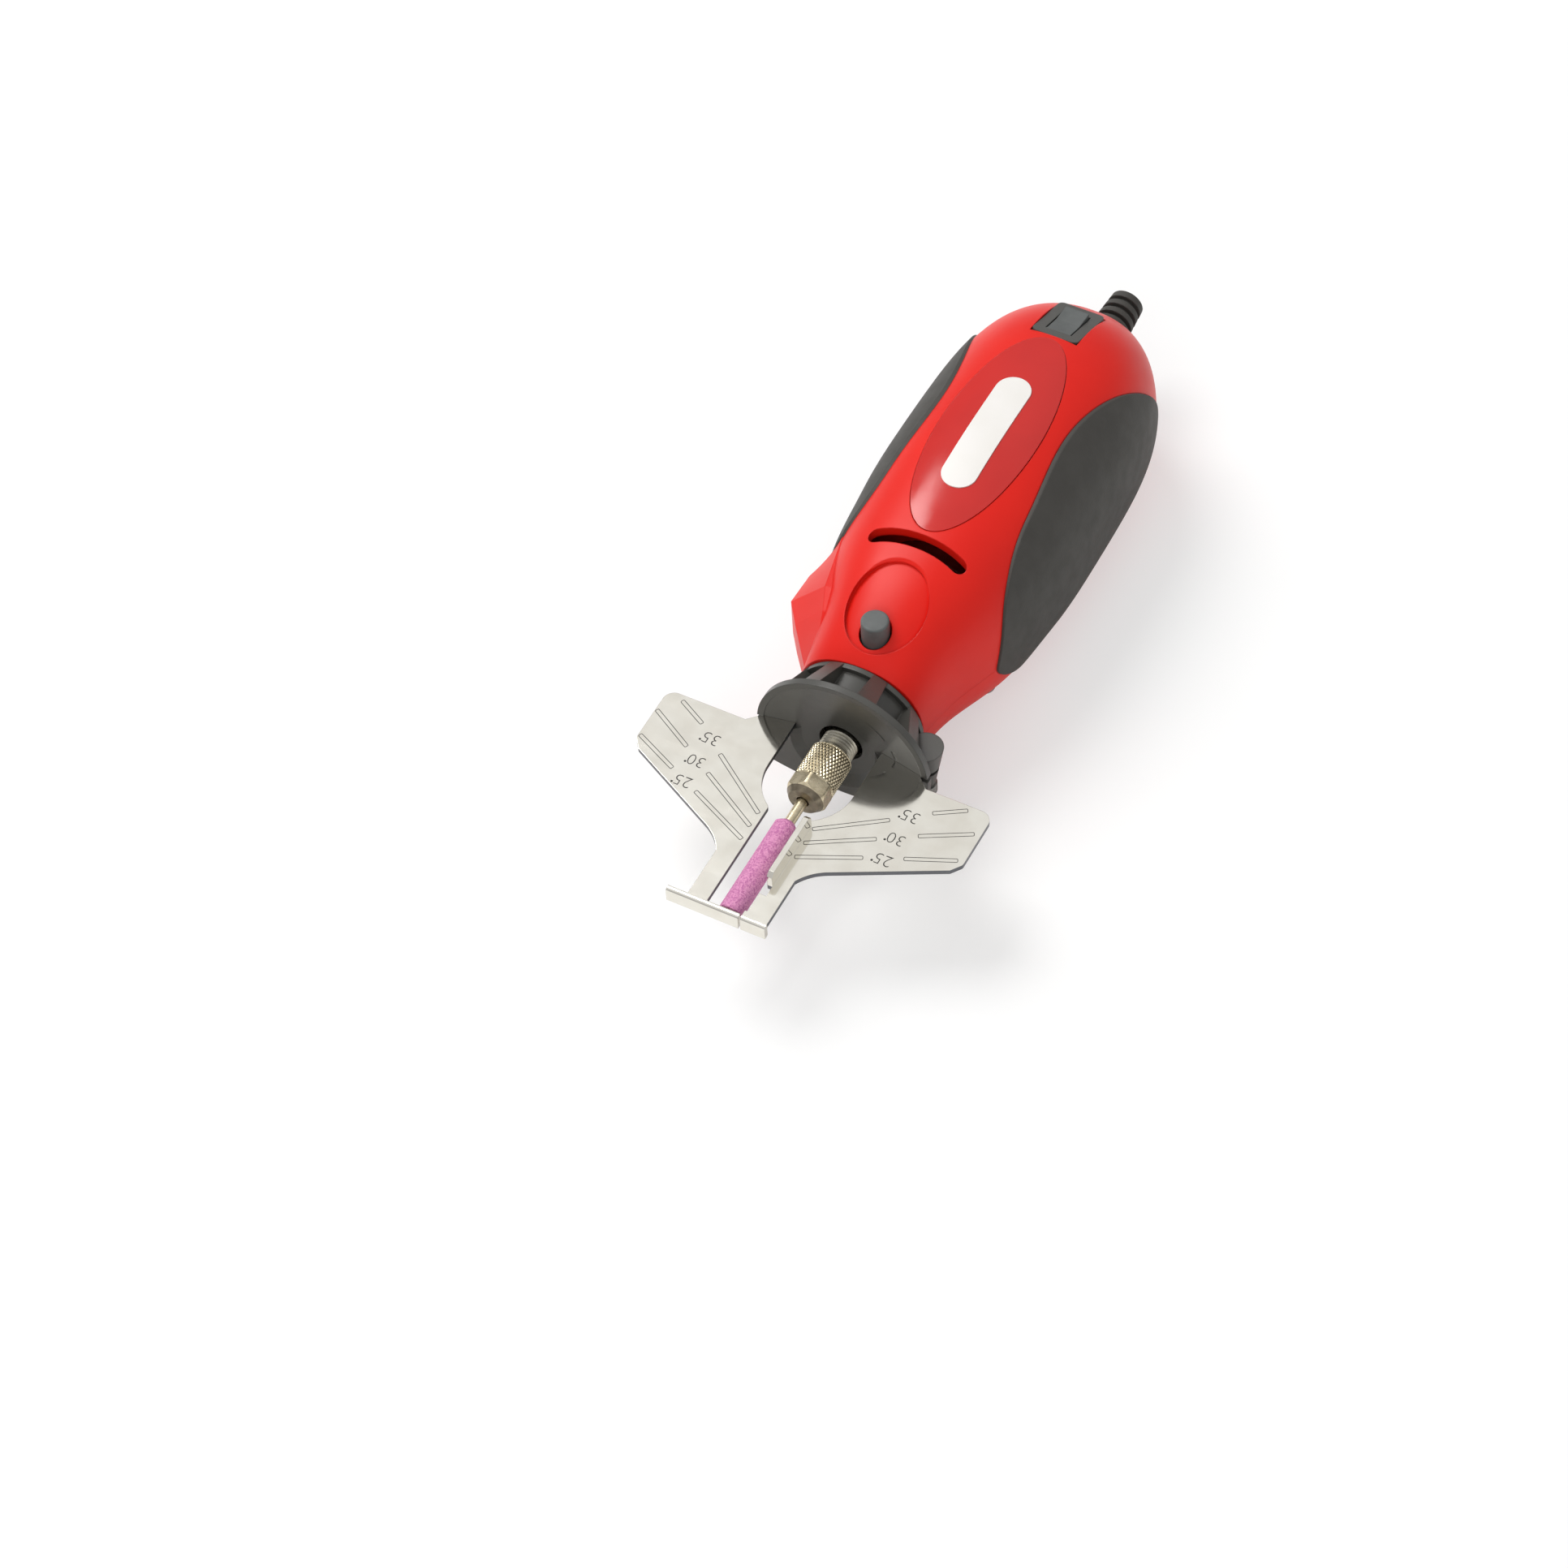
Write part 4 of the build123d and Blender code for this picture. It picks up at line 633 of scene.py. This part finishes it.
class SHARPENER_OT_plate(bpy.types.Operator):
    """Finish the two wings of the angle plate, and make its marks and numbers"""
    bl_idname = "sharpener.plate"
    bl_label = "Angle plate"

    def execute(self, context):
        sizes = context.scene.sharpener_sizes
        for side in ("left", "right"):
            paint(f"{side}_wing", "nickel_plated_steel")
        bm = bmesh.new()
        for start, end in MARKS:
            self.mark(bm, start, end, sizes.line_width)
        piece(bm, "angle_marks", "dark_line_and_shade", "guide")
        bm = bmesh.new()
        for side in NUMBER_SIDES:
            for word, station in NUMBERS:
                self.number(bm, word, station, side)
        piece(bm, "angle_numbers", "dark_line_and_shade", "guide")
        return {"FINISHED"}

    def mark(self, bm, start, end, line):
        """A long frame of thin lines with rounded corners, laid on the plate: painted shade
        along the walls of a shallow coined recess.
        """
        run = Vector((end[0] - start[0], end[1] - start[1], 0.0))
        middle = at((start[0] + end[0]) / 2, (start[1] + end[1]) / 2, PLATE_TOP)
        size = Matrix.Diagonal((run.length * MM, MARK_WIDTH * MM, 1.0, 1.0))
        turn = Matrix.Rotation(math.atan2(run.y, run.x), 4, "Z")
        others = set(bm.faces)
        made = bmesh.ops.create_grid(bm, x_segments=1, y_segments=1, size=0.5,
                                     matrix=Matrix.Translation(middle) @ turn @ size)
        bmesh.ops.bevel(bm, geom=made["verts"], offset=MARK_CORNER * MM, offset_type="OFFSET",
                        segments=3, profile=0.5, affect="VERTICES", clamp_overlap=True,
                        material=-1)
        face = max((f for f in bm.faces if f not in others), key=lambda f: f.calc_area())
        rim = bmesh.ops.inset_individual(bm, faces=[face], thickness=line, depth=0.0)["faces"]
        bmesh.ops.delete(bm, geom=[face], context="FACES_ONLY")
        self.thicken(bm, rim)

    def thicken(self, bm, faces):
        """Stand flat faces a hair above the plate, with their sides going down into it."""
        grown = bmesh.ops.extrude_face_region(bm, geom=faces, use_keep_orig=True)
        raised = [v for v in grown["geom"] if isinstance(v, bmesh.types.BMVert)]
        bmesh.ops.translate(bm, verts=raised, vec=(0, 0, MARK_RISE * MM))
        low = {v for f in faces if f.is_valid for v in f.verts}
        bmesh.ops.translate(bm, verts=list(low), vec=(0, 0, -MARK_SINK * MM))

    def number(self, bm, word, station, side):
        """Two figures and a degree dot, read with the stone pointing up."""
        curve = bpy.data.curves.new("figures", "FONT")
        curve.body = word
        curve.align_x, curve.align_y = "CENTER", "CENTER"
        curve.size = 1.0
        curve.resolution_u = 3
        curve.offset = NUMBER_THINNING
        holder = bpy.data.objects.new("figures", curve)
        flat = bpy.data.meshes.new_from_object(holder)
        span = max(v.co.x for v in flat.vertices) - min(v.co.x for v in flat.vertices)
        mid_y = (max(v.co.y for v in flat.vertices) + min(v.co.y for v in flat.vertices)) / 2
        scale = NUMBER_WIDTH * MM / span
        # the reader's right is the drawing's minus side, the reader's up is towards the stone
        lay = Matrix(((0, scale, 0, 0), (-scale, 0, 0, 0), (0, 0, 1, 0), (0, 0, 0, 1)))
        flat.transform(Matrix.Translation((0, -mid_y, 0)))
        flat.transform(Matrix.Translation(at(station, side, PLATE_TOP)) @ lay)
        before = len(bm.faces)
        bm.from_mesh(flat)
        bm.faces.ensure_lookup_table()
        self.thicken(bm, bm.faces[before:])
        bpy.data.objects.remove(holder)
        bpy.data.curves.remove(curve)
        bpy.data.meshes.remove(flat)
        place = at(station + DEGREE_RISE, side - DEGREE_STEP, PLATE_TOP)
        dot = bmesh.ops.create_circle(bm, cap_ends=True, segments=12, radius=DEGREE_RADIUS * MM,
                                      matrix=Matrix.Translation(place))
        self.thicken(bm, dot["verts"][0].link_faces[:])


class SHARPENER_OT_nut(bpy.types.Operator):
    """Make the collet nut with its diamond knurl, hexagon and cone"""
    bl_idname = "sharpener.nut"
    bl_label = "Collet nut"

    def execute(self, context):
        sizes = context.scene.sharpener_sizes
        profile = (
            (NUT_REAR, NUT_BORE), (NUT_REAR, NUT_RADIUS - NUT_CHAMFER),
            (NUT_REAR + NUT_CHAMFER, NUT_RADIUS), (NUT_KNURL_END, NUT_RADIUS),
            (NUT_HEX_END - NUT_SLOPE, NUT_RADIUS),
            (NUT_HEX_END + NUT_CHAMFER, NUT_SHOULDER - NUT_SLOPE / 2),
            (NUT_FRONT, NUT_FRONT_RADIUS), (NUT_FRONT, NUT_MOUTH), (NUT_BORE_END, NUT_MOUTH),
            (NUT_BORE_END, NUT_BORE))
        bm = spun(profile, NUT_CUTS, NUT_TURNS)
        depth = sizes.knurl_depth / MM
        ribs = sizes.ribs
        slant = math.tan(KNURL_SLANT) / NUT_RADIUS

        def shape(station, turn, radius):
            if station > NUT_KNURL_END + ROUNDING and radius > NUT_BORE:
                # the six flats
                local = (turn + math.pi / 6) % (math.pi / 3) - math.pi / 6
                return min(0.0, NUT_HEX_HALF / math.cos(local) - radius)
            if radius < NUT_RADIUS - ROUNDING:
                return 0.0
            # two sets of slanting grooves leave pointed diamonds
            heights = []
            for way in (-1, 1):
                phase = (turn + way * slant * station) * ribs / math.tau
                heights.append(abs(2 * (phase % 1.0) - 1))
            return -depth * (1 - min(heights))

        push_out(bm, shape)
        nut = piece(bm, "knurled_collet_nut", "turned_plated_steel", "nut",
                    ("collet_nut",), sharp=28.0)
        # painted shade on the front end: the cone and the sloped corners, but not the flats
        nut.data.materials.append(finish_of("turned_steel_painted_shade"))
        front = at(NUT_HEX_END - NUT_SLOPE).x
        for face in nut.data.polygons:
            spot = face.center
            out = math.hypot(spot.y - ORIGIN.y, spot.z - ORIGIN.z) / MM
            if spot.x > front and out < NUT_HEX_HALF and abs(face.normal.x) > NUT_FACING:
                face.material_index = 1
        return {"FINISHED"}


class SHARPENER_OT_stone(bpy.types.Operator):
    """Make the grinding stone with its sandy, pitted surface"""
    bl_idname = "sharpener.stone"
    bl_label = "Grinding stone"

    def execute(self, context):
        depth = context.scene.sharpener_sizes.grit_depth / MM
        profile = (
            (STONE_REAR, STONE_HOLE), (STONE_REAR, STONE_RADIUS - STONE_SHOULDER),
            (STONE_REAR + STONE_SHOULDER, STONE_RADIUS),
            (STONE_FRONT - STONE_ROUND, STONE_RADIUS),
            (STONE_FRONT, STONE_RADIUS - STONE_ROUND), (STONE_FRONT, 0.0),
            (STONE_FRONT - STONE_SHOULDER * 2, 0.0),
            (STONE_FRONT - STONE_SHOULDER * 2, STONE_HOLE))
        bm = spun(profile, STONE_CUTS, STONE_TURNS)

        def pits(station, turn, radius):
            if radius < STONE_HOLE + HOLE_MARGIN:
                return 0.0
            spot = Vector((station, radius * math.cos(turn), radius * math.sin(turn)))
            grains = noise.noise(spot * GRIT_COARSE) * 0.5 + noise.noise(spot * GRIT_FINE) * 0.5
            return -depth * (0.5 + 0.5 * max(-1.0, min(1.0, grains * 2)))

        push_out(bm, pits)
        piece(bm, "mounted_stone", "bonded_abrasive_pink", "drive",
              ("grinding_stone",), sharp=80.0)
        return {"FINISHED"}


class SHARPENER_PT_panel(bpy.types.Panel):
    """Lists the pieces, the sizes and the colours"""
    bl_idname = "SHARPENER_PT_panel"
    bl_label = "Sharpener"
    bl_space_type = "VIEW_3D"
    bl_region_type = "UI"
    bl_category = "Sharpener"

    def draw(self, context):
        for step in STEPS:
            self.layout.operator(step.bl_idname)
        for group in (context.scene.sharpener_sizes, context.scene.sharpener_colours):
            for name in group.__annotations__:
                self.layout.prop(group, name)


STEPS = (SHARPENER_OT_stage, SHARPENER_OT_housing, SHARPENER_OT_works, SHARPENER_OT_collar,
         SHARPENER_OT_plate, SHARPENER_OT_nut, SHARPENER_OT_stone)
CLASSES = (SharpenerSizes, SharpenerColours, *STEPS, SHARPENER_PT_panel)


def register():
    for item in CLASSES:
        bpy.utils.register_class(item)
    bpy.types.Scene.sharpener_sizes = PointerProperty(type=SharpenerSizes)
    bpy.types.Scene.sharpener_colours = PointerProperty(type=SharpenerColours)


def unregister():
    del bpy.types.Scene.sharpener_sizes
    del bpy.types.Scene.sharpener_colours
    for item in reversed(CLASSES):
        bpy.utils.unregister_class(item)


def main():
    register()
    for step in STEPS:
        group, name = step.bl_idname.split(".")
        getattr(getattr(bpy.ops, group), name)()


if __name__ == "__main__":
    main()
